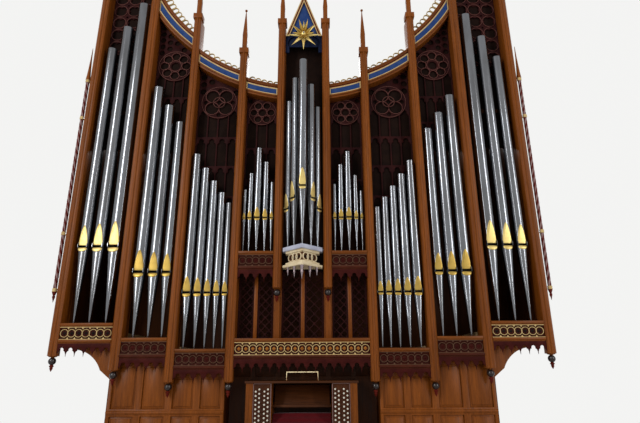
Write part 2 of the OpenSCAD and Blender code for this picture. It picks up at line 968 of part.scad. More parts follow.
function low_top(notes, shelf_z, foot) = shelf_z + foot + body_len(max(notes) + 1);
tower_screen_z = low_top(tower_notes, tower_shelf_z, tower_foot) - screen_lap;
outer_screen_z = low_top(outer_notes, outer_shelf_z, outer_foot) - screen_lap;
inner_screen_z = low_top(inner_notes, inner_shelf_z, inner_foot) - screen_lap;
alcove_screen_z = low_top(alcove_notes, alcove_shelf_z, alcove_foot) - screen_lap;

// Everything of a screen that lies under the top of its cornice
module under_sweep(x, z0, base) {
    intersection() {
        children();
        difference() {
            translate([x[0], z0])
                square([x[1] - x[0], base + sweep_r - z0]);
            translate([0, base + sweep_r])
                circle(r = sweep_r - band_h, $fn = 180);
        }
    }
}

// Opening of a light with a trefoil head, w wide and from z = 0 to h
module light(w, h) {
    translate([-w / 2, 0])
        square([w, h - w * 0.8]);
    for (s = [-1, 1])
        translate([s * w * 0.2, h - w * 0.8])
            circle(r = w * 0.29);
    translate([0, h - w * 0.36])
        circle(r = w * 0.3);
}

// A sheet with tiers of lights cut in it
module lancets(x, z0, z1, count) {
    pitch = (x[1] - x[0] - bar_w) / count;
    tiers = max(1, round((z1 - z0) / tier_h));
    tier = (z1 - z0) / tiers;
    difference() {
        translate([x[0], z0])
            square([x[1] - x[0], z1 - z0]);
        for (i = [0:count - 1], k = [0:tiers - 1])
            translate([x[0] + bar_w / 2 + pitch * (i + 0.5), z0 + tier * k + bar_w])
                light(pitch - bar_w * 0.8, tier - bar_w);
    }
}

// Filling of a wheel: petals between a hub and the rim
module petals(r, count) {
    for (i = [0:count - 1])
        rotate(360 * i / count)
            translate([r * 0.66, 0])
                circle(r = r * 0.24);
    circle(r = r * 0.26);
}

// Filling of a wheel: four circles, a small one in the middle and four by the rim
module four_rounds(r) {
    for (i = [0:3])
        rotate(45 + 90 * i)
            translate([r * 0.56, 0])
                circle(r = r * 0.36);
    for (i = [0:3])
        rotate(90 * i)
            translate([r * 0.8, 0])
                circle(r = r * 0.12);
    circle(r = r * 0.13);
}

// A wheel over tiers of lights; its children are the openings of the wheel
module swept_screen(x, z0, base, count, r) {
    cx = (x[0] + x[1]) / 2;
    cz = sweep_z(x[0], base) - r;
    top = cz - r * 0.5;
    pitch = (x[1] - x[0]) / eye_columns;
    under_sweep(x, z0, base) {
        difference() {
            union() {
                lancets(x, z0, top, count);
                translate([x[0], top - 1])
                    square([x[1] - x[0], sweep_z(x[1], base) + band_h - top]);
            }
            translate([cx, cz])
                circle(r = r - 1);
            for (i = [0:eye_columns - 1])
                let (ex = x[0] + pitch * (i + 0.5), rim = cz + sqrt(max(0, r * r - pow(ex - cx, 2))))
                    for (z = [sweep_z(ex, base) - under_h - pitch * 0.62:-pitch:rim + pitch * 0.42])
                        translate([ex, z])
                            circle(r = pitch * 0.37);
        }
        translate([cx, cz])
            difference() {
                circle(r = r);
                children();
            }
    }
}

module outer_screens() {
    r = (outer_x[1] - outer_x[0]) / 2 - bar_w;
    color("maroon")
        in_case()
            both_sides()
                upright(screen_y, post_d)
                    swept_screen(outer_x, outer_screen_z, outer_sweep_z, 4, r)
                        petals(r - bar_w / 2, 8);
}

module inner_screens() {
    r = wheel_dia / 2;
    color("maroon")
        in_case()
            both_sides()
                upright(screen_y, post_d)
                    swept_screen(inner_x, inner_screen_z, inner_sweep_z, 4, r)
                        four_rounds(r - bar_w / 2);
}

module alcove_screens() {
    r = (alcove_x[1] - alcove_x[0]) / 2 - bar_w;
    color("maroon")
        in_case()
            both_sides()
                upright(screen_y, post_d)
                    swept_screen(alcove_x, alcove_screen_z, alcove_sweep_z, 3, r)
                        petals(r - bar_w / 2, 6);
}

// A quatrefoil opening
module quatrefoil(r) {
    circle(r = r * 0.3);
    for (i = [0:3])
        rotate(90 * i)
            translate([r * 0.5, 0])
                circle(r = r * 0.46);
}

module tower_screens() {
    x = tower_x;
    z0 = tower_screen_z;
    z1 = tower_cornice_z + band_h;
    count = 3;
    pitch = (x[1] - x[0] - bar_w) / count;
    rows = round((z1 - z0 - bar_w) / pitch);
    step = (z1 - z0 - bar_w) / rows;
    color("maroon")
        in_case()
            both_sides()
                upright(screen_y, post_d)
                    difference() {
                        translate([x[0], z0])
                            square([x[1] - x[0], z1 - z0]);
                        for (i = [0:count - 1], k = [0:rows - 1])
                            translate([x[0] + bar_w / 2 + pitch * (i + 0.5),
                                    z0 + bar_w / 2 + step * (k + 0.5)])
                                rotate(45)
                                    quatrefoil(min(pitch, step) * 0.5 - bar_w * 0.3);
                        for (i = [1:count - 1], k = [1:rows - 1])
                            translate([x[0] + bar_w / 2 + pitch * i, z0 + bar_w / 2 + step * k])
                                circle(r = bar_w * 0.7);
                    }
}

// Crossed bars inside a frame: each bar runs from side to side, two diamonds up
module lattice(x, z) {
    w = x[1] - x[0];
    h = z[1] - z[0];
    cell = w / 2;
    rows = max(1, round(h / cell));
    step = h / rows;
    slope = atan2(step, cell);
    inset = bar_w / 2;
    intersection() {
        translate([x[0] + inset, z[0] + inset])
            square([w - 2 * inset, h - 2 * inset]);
        for (k = [-1:rows])
            translate([x[0] + w / 2, z[0] + step * (k + 0.5)]) {
                for (s = [-1, 1])
                    rotate(s * slope)
                        square([1.1 * w / cos(slope), bar_w * 0.5], center = true);
                circle(r = bar_w * 0.7);
            }
    }
    difference() {
        translate([x[0], z[0]])
            square([w, h]);
        translate([x[0] + bar_w, z[0] + bar_w])
            square([w - 2 * bar_w, h - 2 * bar_w]);
    }
}

// Pairs of grilles over the centre shelf, with a muntin between
module grille_pair(x, z) {
    mid = (x[0] + x[1]) / 2;
    upright(screen_y, post_d) {
        lattice([x[0], mid - muntin_w / 2], z);
        lattice([mid + muntin_w / 2, x[1]], z);
    }
    block([mid - muntin_w / 2, mid + muntin_w / 2], [screen_y - 30, post_d], z);
}

module centre_grilles() {
    color("maroon")
        in_case() {
            both_sides()
                grille_pair(alcove_x, [centre_shelf_z, alcove_shelf_z - shelf_h]);
            grille_pair([-centre_bay_x, centre_bay_x], [centre_shelf_z, corbel_z - corbel_h]);
        }
}

// Pipes

// A pointed leaf, half wide either side of x = 0 and high from z = 0 to its tip
module leaf(half, high) {
    r = (high * high + half * half) / (2 * half);
    intersection() {
        translate([half - r, 0])
            circle(r = r, $fn = 240);
        translate([r - half, 0])
            circle(r = r, $fn = 240);
        translate([-half, 0])
            square([2 * half, high]);
    }
}

// Places in y of the leaning plane, at the mouth and at the tip of the leaf
function press_y(d) = [(lip_press - 0.5) * d, tip_press - d / 2];
function press_rise(d) = lip_high * d / (press_y(d)[0] - press_y(d)[1]);

// What the upper lip takes out of a pipe body: everything before the leaning plane
module press_cut(d, deeper = 0) {
    y = press_y(d)[0] + deeper;
    along_x(-d, d)
        polygon([[-d, 0], [y, 0], [-d, press_rise(d) * (y + d)]]);
}

// What the lower lip takes out of a foot: everything before a plane that leans forward going down
module foot_cut(d) {
    y = press_y(d)[0];
    along_x(-d, d)
        polygon([[-d, 1], [y, 1], [y, 0], [-d, -low_lip * (y + d) / lip_press]]);
}

// One flue pipe, standing on z = 0: a foot, a body with its mouth, open at the top
module flue_pipe(n, foot, wide = 1) {
    d = pipe_dia(n, wide);
    high = mouth_high * d;
    difference() {
        cylinder(d1 = toe_share * d, d2 = d, h = foot);
        translate([0, 0, foot])
            foot_cut(d);
    }
    translate([0, 0, foot])
        difference() {
            cylinder(d = d, h = body_len(n));
            difference() {
                translate([0, 0, pipe_wall])
                    cylinder(d = d - 2 * pipe_wall, h = body_len(n));
                translate([0, 0, high])
                    press_cut(d, pipe_wall);
            }
            translate([0, 0, high])
                press_cut(d);
            block([-mouth_half * d, mouth_half * d], [-d, press_y(d)[0] + 2 * pipe_wall],
                [-1, high + 1]);
        }
}

// The gilded leaf on the pressed upper lip of one pipe
module pipe_lips(n, foot, wide = 1) {
    d = pipe_dia(n, wide);
    y = press_y(d);
    high = lip_high * d;
    translate([0, 0, foot + mouth_high * d])
        intersection() {
            upright(-d, 0)
                leaf(lip_half * d, high);
            along_x(-d, d)
                polygon([[y[0] - gilt_t, 0], [y[0], 0], [y[1], high], [y[1] - gilt_t, high]]);
        }
}

module bay_pipes(notes, foot, span, shelf_z, side, wide = 1) {
    n = raised(notes, side);
    d = dias(n, wide);
    for (i = [0:len(n) - 1])
        translate([side * pipe_x(d, i, span), pipe_y, shelf_z])
            flue_pipe(n[i], foot, wide);
}

module bay_lips(notes, foot, span, shelf_z, side, wide = 1) {
    n = raised(notes, side);
    d = dias(n, wide);
    for (i = [0:len(n) - 1])
        translate([side * pipe_x(d, i, span), pipe_y, shelf_z])
            pipe_lips(n[i], foot, wide);
}

module tower_pipes() {
    color("silver")
        in_case()
            for (side = [-1, 1])
                bay_pipes(tower_notes, tower_foot, tower_x, tower_shelf_z, side);
}

module outer_pipes() {
    color("silver")
        in_case()
            for (side = [-1, 1])
                bay_pipes(outer_notes, outer_foot, outer_x, outer_shelf_z, side);
}

module inner_pipes() {
    color("silver")
        in_case()
            for (side = [-1, 1])
                bay_pipes(inner_notes, inner_foot, inner_x, inner_shelf_z, side);
}

module alcove_pipes() {
    color("silver")
        in_case()
            for (side = [-1, 1])
                bay_pipes(alcove_notes, alcove_foot, alcove_x, alcove_shelf_z, side, alcove_widening);
}

// Places of the centre pipes, which follow the point of the corbel
centre_front_y = shelf_back - corbel_half + 120;
centre_places = [
    for (x = [-outer_pipe_x, -inner_pipe_x, 0, inner_pipe_x, outer_pipe_x])
        [x, centre_front_y + abs(x)]];
centre_feet = [
    centre_foot - outer_foot_less, centre_foot - inner_foot_less, centre_foot,
    centre_foot - inner_foot_less, centre_foot - outer_foot_less];

// Stands its children in the place of one centre pipe, facing square out of the corbel
module at_centre(i) {
    translate([centre_places[i][0], centre_places[i][1], corbel_z])
        rotate(45 * sign(centre_places[i][0]))
            children();
}

module centre_pipes() {
    color("silver")
        in_case()
            for (i = [0:4])
                at_centre(i)
                    flue_pipe(centre_notes[i], centre_feet[i], centre_widening);
}

module gilded_lips() {
    color("gold")
        in_case() {
            for (side = [-1, 1]) {
                bay_lips(tower_notes, tower_foot, tower_x, tower_shelf_z, side);
                bay_lips(outer_notes, outer_foot, outer_x, outer_shelf_z, side);
                bay_lips(inner_notes, inner_foot, inner_x, inner_shelf_z, side);
                bay_lips(alcove_notes, alcove_foot, alcove_x, alcove_shelf_z, side, alcove_widening);
            }
            for (i = [0:4])
                at_centre(i)
                    pipe_lips(centre_notes[i], centre_feet[i], centre_widening);
        }
}

// Rails between the posts that the pipes lean on
module rack_rail(notes, foot, span, shelf_z, wide = 1) {
    short = body_len(max(notes) + 1);
    z = shelf_z + foot + short * 0.7;
    both_sides()
        block(span, [screen_y - 18, screen_y], [z, z + 80]);
}

module rack_rails() {
    color("sienna")
        in_case() {
            rack_rail(tower_notes, tower_foot, tower_x, tower_shelf_z);
            rack_rail(outer_notes, outer_foot, outer_x, outer_shelf_z);
            rack_rail(inner_notes, inner_foot, inner_x, inner_shelf_z);
            rack_rail(alcove_notes, alcove_foot, alcove_x, alcove_shelf_z);
        }
}

// Star and gable

star_y = -60;
gable_y = [40, 110];

// Trefoil arch that the star hangs in, drawn from its springing at z = 0
module trefoil_arch(half) {
    translate([-half * 0.8, -arch_h])
        square([half * 1.6, arch_h]);
    for (s = [-1, 1])
        translate([s * half * 0.42, 0])
            circle(r = half * 0.46);
    translate([0, half * 0.5])
        circle(r = half * 0.52);
}

// Two rakes with a panel between them, cut by a trefoil arch, and a hanger for the star
module centre_gable() {
    half = centre_bay_x;
    apex = gable_z + gable_h;
    rake = 0.8;
    mid_y = (gable_y[0] + gable_y[1]) / 2;
    color("firebrick")
        in_case() {
            upright(gable_y[0], gable_y[1])
                difference() {
                    polygon([[-half, gable_z], [half, gable_z], [0, apex]]);
                    polygon([[-half * rake, gable_z - 1], [half * rake, gable_z - 1],
                        [0, gable_z + gable_h * rake]]);
                }
            upright(mid_y, gable_y[1])
                difference() {
                    polygon([[-half, gable_z - arch_h], [half, gable_z - arch_h], [half, gable_z],
                        [0, apex - 1], [-half, gable_z]]);
                    translate([0, gable_z - arch_h * 0.4])
                        trefoil_arch(half);
                }
            block([-25, 25], [mid_y, gable_y[1]], [star_z - 60, gable_z + half * 0.75]);
            block([-50, 50], gable_y, [star_z - 50, star_z + 50]);
            translate([0, mid_y, apex - 60])
                cylinder(d1 = 60, d2 = 20, h = finial_h);
            translate([0, mid_y, apex + finial_h * 0.35])
                cylinder(r = 52, h = 24);
        }
}

module star_axle() {
    color("dimgray")
        in_case()
            translate([0, gable_y[0], star_z])
                rotate([90, 0, 0]) {
                    cylinder(r = axle_r, h = gable_y[0] - star_y + hub_dia / 2 + 12);
                    cylinder(r = axle_r * 2, h = gable_y[0] - star_y - hub_dia / 2 - 6);
                }
}

// A slim point of the star, along x from inside the hub to its tip
module star_ray(reach, w) {
    start = hub_dia * 0.3;
    rotate([0, 90, 0])
        translate([0, 0, start])
            cylinder(r1 = w / 2, r2 = 1, h = reach - start, $fn = 4);
}

// Rays round a drilled hub, in its plane and between them toward the front
module star() {
    reach = star_dia / 2;
    color("gold")
        in_case()
            translate([0, star_y, star_z])
                rotate([90, 0, 0])
                    difference() {
                        union() {
                            sphere(d = hub_dia);
                            for (i = [0:star_points - 1]) {
                                rotate(360 * i / star_points)
                                    star_ray(reach, ray_w);
                                rotate(360 * (i + 0.5) / star_points)
                                    rotate([0, -ray_lean, 0])
                                        star_ray(reach * 0.8, ray_w);
                            }
                        }
                        cylinder(r = axle_r + axle_gap, h = hub_dia * 2, center = true);
                    }
}

// Slender banded shafts outside the towers
module side_shafts() {
    r = shaft_dia / 2;
    x = upper_half + shaft_gap + r;
    y = post_front_d / 2;
    color("indianred")
        in_case()
            both_sides() {
                translate([x, y, 0]) {
                    translate([0, 0, shaft_z0])
                        cylinder(r = r, h = shaft_z1 - shaft_z0);
                    translate([0, 0, shaft_z0])
                        turned_drop(shaft_drop_h, r * 1.2);
                    translate([0, 0, shaft_z1])
                        cylinder(r1 = r * 1.4, r2 = 4, h = shaft_tip_h);
                    for (z = [shaft_z0, low_band_z, high_band_z, shaft_z1 - shaft_band_h])
                        translate([0, 0, z])
                            cylinder(r = r * 1.35, h = shaft_band_h);
                }
                for (z = [low_band_z, high_band_z])
                    block([upper_half, x], [y - 12, y + 12],
                        [z + shaft_band_h / 4, z + shaft_band_h * 3 / 4]);
            }
}

// Console

console_y = [-console_out, recess_d];
jamb_x = [key_gap / 2, console_w / 2];
top_t = 30;
top_out = 20;
cheek_w = 110;
jamb_back = 12;
bed_t = 30;
lamp_w = 520;
lamp_y = [200, 214];
lamp_z = 1556;
bed_z = key_z - 70;
bed_y = console_y[0] + 60;

// Cheeks to the floor, jambs between them and the keys, a top, a knee panel and a key bed
module console_case() {
    body_top = console_top_z - top_t;
    color("sienna")
        in_case() {
            both_sides() {
                block([jamb_x[1] - cheek_w, jamb_x[1]], console_y, [0, body_top]);
                difference() {
                    block([jamb_x[0], jamb_x[1] - cheek_w + 1],
                        [console_y[0] + jamb_back, console_y[1]], [jamb_z, body_top]);
                    for (i = [0, 1])
                        translate([knob_x(2 * i + 0.5), 0])
                            upright(console_y[0], console_y[0] + jamb_back + knob_sink)
                                knob_field();
                }
                block([lamp_w / 2 - 12, lamp_w / 2], lamp_y, [body_top, lamp_z]);
            }
            block([-lamp_w / 2, lamp_w / 2], lamp_y, [lamp_z - 1, lamp_z + 14]);
            block([-jamb_x[1] - top_out, jamb_x[1] + top_out], [console_y[0] - top_out, console_y[1]],
                [body_top - 0.5, console_top_z]);
            block([cheek_w - jamb_x[1] - 1, jamb_x[1] - cheek_w + 1],
                [console_y[1] - board_t, console_y[1]], [0, body_top]);
            block([-key_gap / 2 - 1, key_gap / 2 + 1], [bed_y, console_y[1] - board_t + 1],
                [bed_z - bed_t, bed_z]);
        }
}

// Places of the columns of knobs, two under each arched head
knob_pitch = 58;
knob_sink = 8;
function knob_x(c) = jamb_x[0] + (jamb_x[1] - cheek_w - jamb_x[0]) * (c + 0.6) / 4.2;

module knob_field() {
    half = knob_x(1) - knob_x(0) - 3;
    head_z = console_top_z - 95;
    translate([-half, head_z - knob_pitch * knob_rows - 20])
        square([2 * half, knob_pitch * knob_rows + 20]);
    translate([0, head_z - 20])
        circle(r = half + 4);
}

// A turned knob on its stem, pointing to the front
module stop_knob() {
    rotate([90, 0, 0]) {
        cylinder(r = knob_dia * 0.22, h = 40);
        translate([0, 0, 34])
            cylinder(d1 = knob_dia * 0.7, d2 = knob_dia, h = 8);
        translate([0, 0, 41.9])
            cylinder(d = knob_dia, h = 8);
    }
}

module stop_knobs() {
    color("ivory")
        in_case()
            both_sides()
                for (c = [0:3])
                    for (r = [0:knob_rows - 1])
                        translate([knob_x(c), console_y[0] + jamb_back + knob_sink,
                                console_top_z - 120 - knob_pitch * (r + (c % 2) / 2)])
                            stop_knob();
}

// Keyboards that step back as they rise, between their own key blocks
key_step_y = 105;
key_step_z = 65;
key_len = 150;
key_block_w = 60;
key_block_up = 12;
module keyboards() {
    key_half = key_gap / 2 - key_block_w;
    slip_h = 40;
    color("ivory")
        in_case()
            for (m = [0:manuals - 1]) {
                y0 = bed_y + key_step_y * m;
                z1 = key_z + key_step_z * m;
                block([-key_half - 1, key_half + 1], [y0, y0 + key_len],
                    [m == 0 ? bed_z : z1 - slip_h, z1]);
                both_sides()
                    block([key_half, key_gap / 2], [y0, y0 + key_len], [bed_z, z1 + key_block_up]);
            }
}

// Cloth over the keyboards, as a closed sheet of its own thickness
module key_cover() {
    t = 6;
    rest = 0.3;
    rise = key_step_z * (manuals - 1);
    run = key_step_y * (manuals - 1);
    front = bed_y - rest;
    low = key_z + key_block_up + rest;
    hem = bed_z + 10;
    color("darkred")
        in_case()
            along_x(4 - key_gap / 2, key_gap / 2 - 4)
                polygon([[front, hem], [front, low], [bed_y + run, low + rise],
                    [bed_y + run + key_len, low + rise], [bed_y + run + key_len, low + rise + t],
                    [bed_y + run - t / 2, low + rise + t], [front - t, low + t / 2],
                    [front - t, hem]]);
}

// Board that holds the music, leaning back on a ledge between the jambs
desk_z = 1070;
desk_h = 300;
desk_lean = 12;
desk_t = 20;
desk_back = 330;
module music_desk() {
    back = console_y[0] + desk_back;
    color("peru")
        in_case() {
            translate([0, back - 60, desk_z - 1])
                rotate([-desk_lean, 0, 0])
                    block([30 - key_gap / 2, key_gap / 2 - 30], [0, desk_t], [0, desk_h]);
            block([-key_gap / 2, key_gap / 2], [back - 120, back], [desk_z - 40, desk_z]);
        }
}

// A frame on the floor with long keys from front to back
module pedalboard() {
    half = pedal_keys * pedal_pitch / 2;
    y0 = -pedal_out;
    y1 = console_y[1] - board_t;
    rail = 60;
    side = 40;
    high = 90;
    key_w = 24;
    sharp_y = 420;
    color("burlywood")
        in_case() {
            block([-half - side, half + side], [y1 - rail, y1], [0, high]);
            block([-half - side, half + side], [y0, y0 + rail], [0, high]);
            both_sides()
                block([half, half + side], [y0 + rail - 1, y1 - rail + 1], [0, high]);
            for (i = [0:pedal_keys - 1])
                block([pedal_pitch * (i + 0.5) - half - key_w / 2,
                        pedal_pitch * (i + 0.5) - half + key_w / 2],
                    [y0 + rail - 1, y1 - rail + 1], [40, high - 10]);
            for (i = [0:pedal_keys - 2])
                if (i % 7 != 2 && i % 7 != 6)
                    block([pedal_pitch * (i + 1) - half - 10, pedal_pitch * (i + 1) - half + 10],
                        [y0 + sharp_y, y1 - rail + 1], [40, high + 8]);
        }
}

plinth();
lower_frame();
lower_panels();
recess_panelling();
side_walls();
back_wall();
soundboards();
knee_braces();
tower_posts_outer();
tower_posts_inner();
flat_posts();
centre_posts();
post_drops();
drop_balls();
pinnacles();
tower_shelves();
flat_shelves();
centre_corbel();
ring_friezes();
valances();
rack_rails();
cornices();
painted_bands();
cresting();
tower_screens();
outer_screens();
inner_screens();
alcove_screens();
centre_grilles();
tower_pipes();
outer_pipes();
inner_pipes();
alcove_pipes();
centre_pipes();
gilded_lips();
centre_gable();
star();
star_axle();
side_shafts();
console_case();
stop_knobs();
keyboards();
key_cover();
music_desk();
pedalboard();
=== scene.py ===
"""Looks of a Gothic church pipe organ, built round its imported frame.

Each sub-assembly is a class that models its own pieces and dresses them. The
CAD nodes whose shape is right keep it and are only given a finish.
"""

import logging
import math
from collections.abc import Callable, Iterator, Sequence
from dataclasses import dataclass
from enum import Enum

import bmesh
import bpy
from mathutils import Matrix, Vector


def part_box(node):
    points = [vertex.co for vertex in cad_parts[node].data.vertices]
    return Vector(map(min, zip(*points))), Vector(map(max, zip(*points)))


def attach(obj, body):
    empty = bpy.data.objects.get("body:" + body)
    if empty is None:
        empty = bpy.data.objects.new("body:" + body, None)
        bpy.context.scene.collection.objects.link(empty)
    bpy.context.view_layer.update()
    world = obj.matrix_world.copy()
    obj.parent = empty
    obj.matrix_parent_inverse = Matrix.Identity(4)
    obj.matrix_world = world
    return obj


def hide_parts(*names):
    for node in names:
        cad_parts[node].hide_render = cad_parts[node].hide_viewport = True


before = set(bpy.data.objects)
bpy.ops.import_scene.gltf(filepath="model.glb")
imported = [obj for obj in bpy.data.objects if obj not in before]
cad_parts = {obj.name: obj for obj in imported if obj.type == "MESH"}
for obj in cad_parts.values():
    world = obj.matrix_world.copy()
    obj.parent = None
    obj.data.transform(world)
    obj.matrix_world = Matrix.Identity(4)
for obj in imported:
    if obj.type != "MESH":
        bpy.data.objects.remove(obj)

LOG = logging.getLogger("organ")
CASE = "case"
STAR = "star"
FACE_Y = -0.5

# Ends of the bays on the right, and tops of the shelves, as the CAD model has them
TOWER_BAY, OUTER_BAY = (3.1175, 3.9825), (2.2075, 2.9575)
INNER_BAY, ALCOVE_BAY = (1.2475, 2.0675), (0.5025, 1.1075)
TOWER_SHELF, OUTER_SHELF, INNER_SHELF = 2.35, 2.11, 1.93
ALCOVE_SHELF, MIDDLE_SHELF = 3.55, 2.09
# Sunk field of a shelf, behind the face of the posts, and the lower edge of its rings
FIELD_DEPTH = 0.046
RINGS_LOW = 0.266

Number = float | int
Pair = tuple[float, float]
Triple = tuple[float, float, float]
Colour = tuple[float, float, float]


# Shader expressions


class Wire:
    """One output of a material's node, with arithmetic that adds nodes."""

    def __init__(self, tree: "Tree", socket: bpy.types.NodeSocket) -> None:
        """Keeps the output and the tree it is in."""
        self.tree = tree
        self.socket = socket

    def _math(self, operation: str, first: "Value", second: "Value" = 0.0) -> "Wire":
        """Adds one Math node to the tree."""
        return self.tree.node("ShaderNodeMath", {"operation": operation}, {0: first, 1: second})

    def __add__(self, other: "Value") -> "Wire":
        """Sum."""
        return self._math("ADD", self, other)

    def __mul__(self, other: "Value") -> "Wire":
        """Product."""
        return self._math("MULTIPLY", self, other)

    def wave(self) -> "Wire":
        """Sine."""
        return self._math("SINE", self)


Value = Wire | Number | Sequence[float]


class Tree:
    """The nodes of one material, with a Principled shader ready to fill."""

    def __init__(self, name: str) -> None:
        """Makes the material.

        Args:
            name: The material's name.
        """
        self.material = bpy.data.materials.new(name)
        self.material.use_nodes = True
        self.nodes, self.links = self.material.node_tree.nodes, self.material.node_tree.links
        self.nodes.clear()
        self.shader = self.nodes.new("ShaderNodeBsdfPrincipled")
        output = self.nodes.new("ShaderNodeOutputMaterial")
        self.links.new(self.shader.outputs[0], output.inputs[0])

    def node(
        self,
        kind: str,
        settings: dict[str, object] | None = None,
        inputs: dict[str | int, Value] | None = None,
        output: str | int = 0,
    ) -> Wire:
        """Adds any node.

        Args:
            kind: Blender's name of the node.
            settings: Its settings, set before its sockets.
            inputs: Values or wires, by the name or place of the socket.
            output: The name or place of the output that is wanted.

        Returns:
            The wire from that output.
        """
        made = self.nodes.new(kind)
        for key, value in (settings or {}).items():
            setattr(made, key, value)
        for key, value in (inputs or {}).items():
            self.feed(made.inputs[key], value)
        return Wire(self, made.outputs[output])

    def feed(self, socket: bpy.types.NodeSocket, value: Value) -> None:
        """Links a wire to a socket, or sets a value on it.

        Args:
            socket: The input.
            value: The wire or the value.
        """
        if isinstance(value, Wire):
            self.links.new(value.socket, socket)
        elif socket.type == "RGBA" and len(value) == 3:
            socket.default_value = (*value, 1.0)
        else:
            socket.default_value = value

    def shade(self, **inputs: Value) -> None:
        """Feeds the Principled shader, with the socket names in snake case.

        Args:
            inputs: Values or wires, by the name of the socket.
        """
        for key, value in inputs.items():
            name = key.replace("_", " ").title().replace("Ior", "IOR")
            self.feed(self.shader.inputs[name], value)

    def place(self, scale: Triple = (1, 1, 1)) -> Wire:
        """Object coordinates, scaled."""
        own = self.node("ShaderNodeTexCoord", output="Object")
        return self.node("ShaderNodeMapping", {}, {"Vector": own, "Scale": scale})

    def axis(self, name: str) -> Wire:
        """One of the X, Y and Z of the object's own coordinates."""
        own = self.node("ShaderNodeTexCoord", output="Object")
        return self.node("ShaderNodeSeparateXYZ", {}, {"Vector": own}, name)

    def noise(self, vector: Value, scale: float, detail: float = 4, rough: float = 0.55) -> Wire:
        """Plain noise from 0 to 1."""
        return self.node("ShaderNodeTexNoise", {},
                         {"Vector": vector, "Scale": scale, "Detail": detail, "Roughness": rough})

    def blend(self, share: Value, first: Value, second: Value) -> Wire:
        """Mixes two colours."""
        return self.node("ShaderNodeMix", {"data_type": "RGBA"}, {0: share, 6: first, 7: second}, 2)

    def spread(self, value: Wire, low: float, high: float, to_low: float = 0,
               to_high: float = 1) -> Wire:
        """Maps a range of values onto another, and clamps it."""
        return self.node("ShaderNodeMapRange", {},
                         {"Value": value, 1: low, 2: high, 3: to_low, 4: to_high})

    def uneven(self, noise: Wire, middle: float, less: float, more: float) -> Wire:
        """A value that a noise carries from a little under its middle to a little over."""
        return self.spread(noise, 0.3, 0.7, middle - less, middle + more)

    def bump(self, height: Value, strength: float, distance: float) -> None:
        """Feeds a height to the shader's normal.

        Args:
            height: The height.
            strength: How much of it shows, up to 1.
            distance: The full height in metres.
        """
        made = self.node("ShaderNodeBump", {},
                         {"Height": height, "Strength": strength, "Distance": distance})
        self.feed(self.shader.inputs["Normal"], made)


# Finishes


class Grain(Enum):
    """Which way the grain of a board runs."""

    ALONG_X = (0.06, 1.0, 1.0)
    ALONG_Y = (1.0, 0.06, 1.0)
    ALONG_Z = (1.0, 1.0, 0.06)


def tint(colour: Colour, share: float) -> Colour:
    """A colour with its light multiplied by a share."""
    return tuple(share * c for c in colour)


@dataclass(frozen=True)
class Finish:
    """The look of one surface, which makes a material of its own."""

    name: str

    def fill(self, tree: Tree) -> None:
        """Fills the shader of the material's tree."""
        raise NotImplementedError

    def material(self) -> bpy.types.Material:
        """Makes the material.

        Returns:
            The finished material.
        """
        tree = Tree(self.name)
        self.fill(tree)
        return tree.material


@dataclass(frozen=True)
class Oak(Finish):
    """Stained oak with long grain, pores and a wax shine."""

    dark: Colour
    light: Colour
    grain: Grain = Grain.ALONG_Z
    roughness: float = 0.36
    fine_scale: float = 46
    broad_scale: float = 5.5
    pore_scale: float = 190
    cloud_scale: float = 1.4

    def fill(self, tree: Tree) -> None:
        """Lays grain in two widths, dark pores and soft clouds.

        Args:
            tree: The tree of the material.
        """
        along = tree.place(self.grain.value)
        fine = tree.noise(along, self.fine_scale, 6, 0.62)
        broad = tree.noise(along, self.broad_scale, 3)
        pores = tree.noise(along, self.pore_scale, 2)
        clouds = tree.noise(tree.place(), self.cloud_scale, 3)
        figure = tree.spread(fine * 0.55 + broad * 0.45, 0.32, 0.68)
        colour = tree.blend(figure, self.dark, self.light)
        colour = tree.blend(tree.spread(pores, 0.56, 0.7) * 0.45, colour, tint(self.dark, 0.45))
        colour = tree.blend(tree.spread(clouds, 0.4, 0.7) * 0.35, colour, tint(self.light, 0.62))
        tree.shade(base_color=colour, roughness=tree.uneven(fine, self.roughness, 0.07, 0.09),
                   specular_ior_level=0.12)
        tree.bump(fine * 0.6 + pores * 0.4, 0.22, 0.0012)


@dataclass(frozen=True)
class Paint(Finish):
    """Old paint on wood, uneven and a little worn."""

    colour: Colour
    worn: Colour
    roughness: float = 0.5
    patch_scale: float = 7
    speck_scale: float = 60

    def fill(self, tree: Tree) -> None:
        """Lays worn patches and dark specks.

        Args:
            tree: The tree of the material.
        """
        patch = tree.noise(tree.place(), self.patch_scale, 5)
        speck = tree.noise(tree.place(), self.speck_scale, 4, 0.7)
        colour = tree.blend(tree.spread(patch, 0.42, 0.66) * 0.7, self.colour, self.worn)
        colour = tree.blend(tree.spread(speck, 0.6, 0.75) * 0.35, colour, tint(self.colour, 0.5))
        tree.shade(base_color=colour, roughness=tree.uneven(speck, self.roughness, 0.08, 0.12),
                   specular_ior_level=0.06)
        tree.bump(speck, 0.18, 0.001)


@dataclass(frozen=True)
class GoldLeaf(Finish):
    """Gold leaf with soft laps and rubbed spots."""

    colour: Colour
    rubbed: Colour
    roughness: float = 0.34
    lap_scale: float = 9
    fine_scale: float = 70

    def fill(self, tree: Tree) -> None:
        """Lays the laps of the leaf and its fine marks.

        Args:
            tree: The tree of the material.
        """
        laps = tree.noise(tree.place(), self.lap_scale, 4)
        fine = tree.noise(tree.place(), self.fine_scale, 4, 0.65)
        colour = tree.blend(tree.spread(laps, 0.45, 0.7) * 0.6, self.colour, self.rubbed)
        tree.shade(base_color=colour, metallic=0.9,
                   roughness=tree.uneven(fine, self.roughness, 0.08, 0.12))
        tree.bump(fine, 0.2, 0.0008)


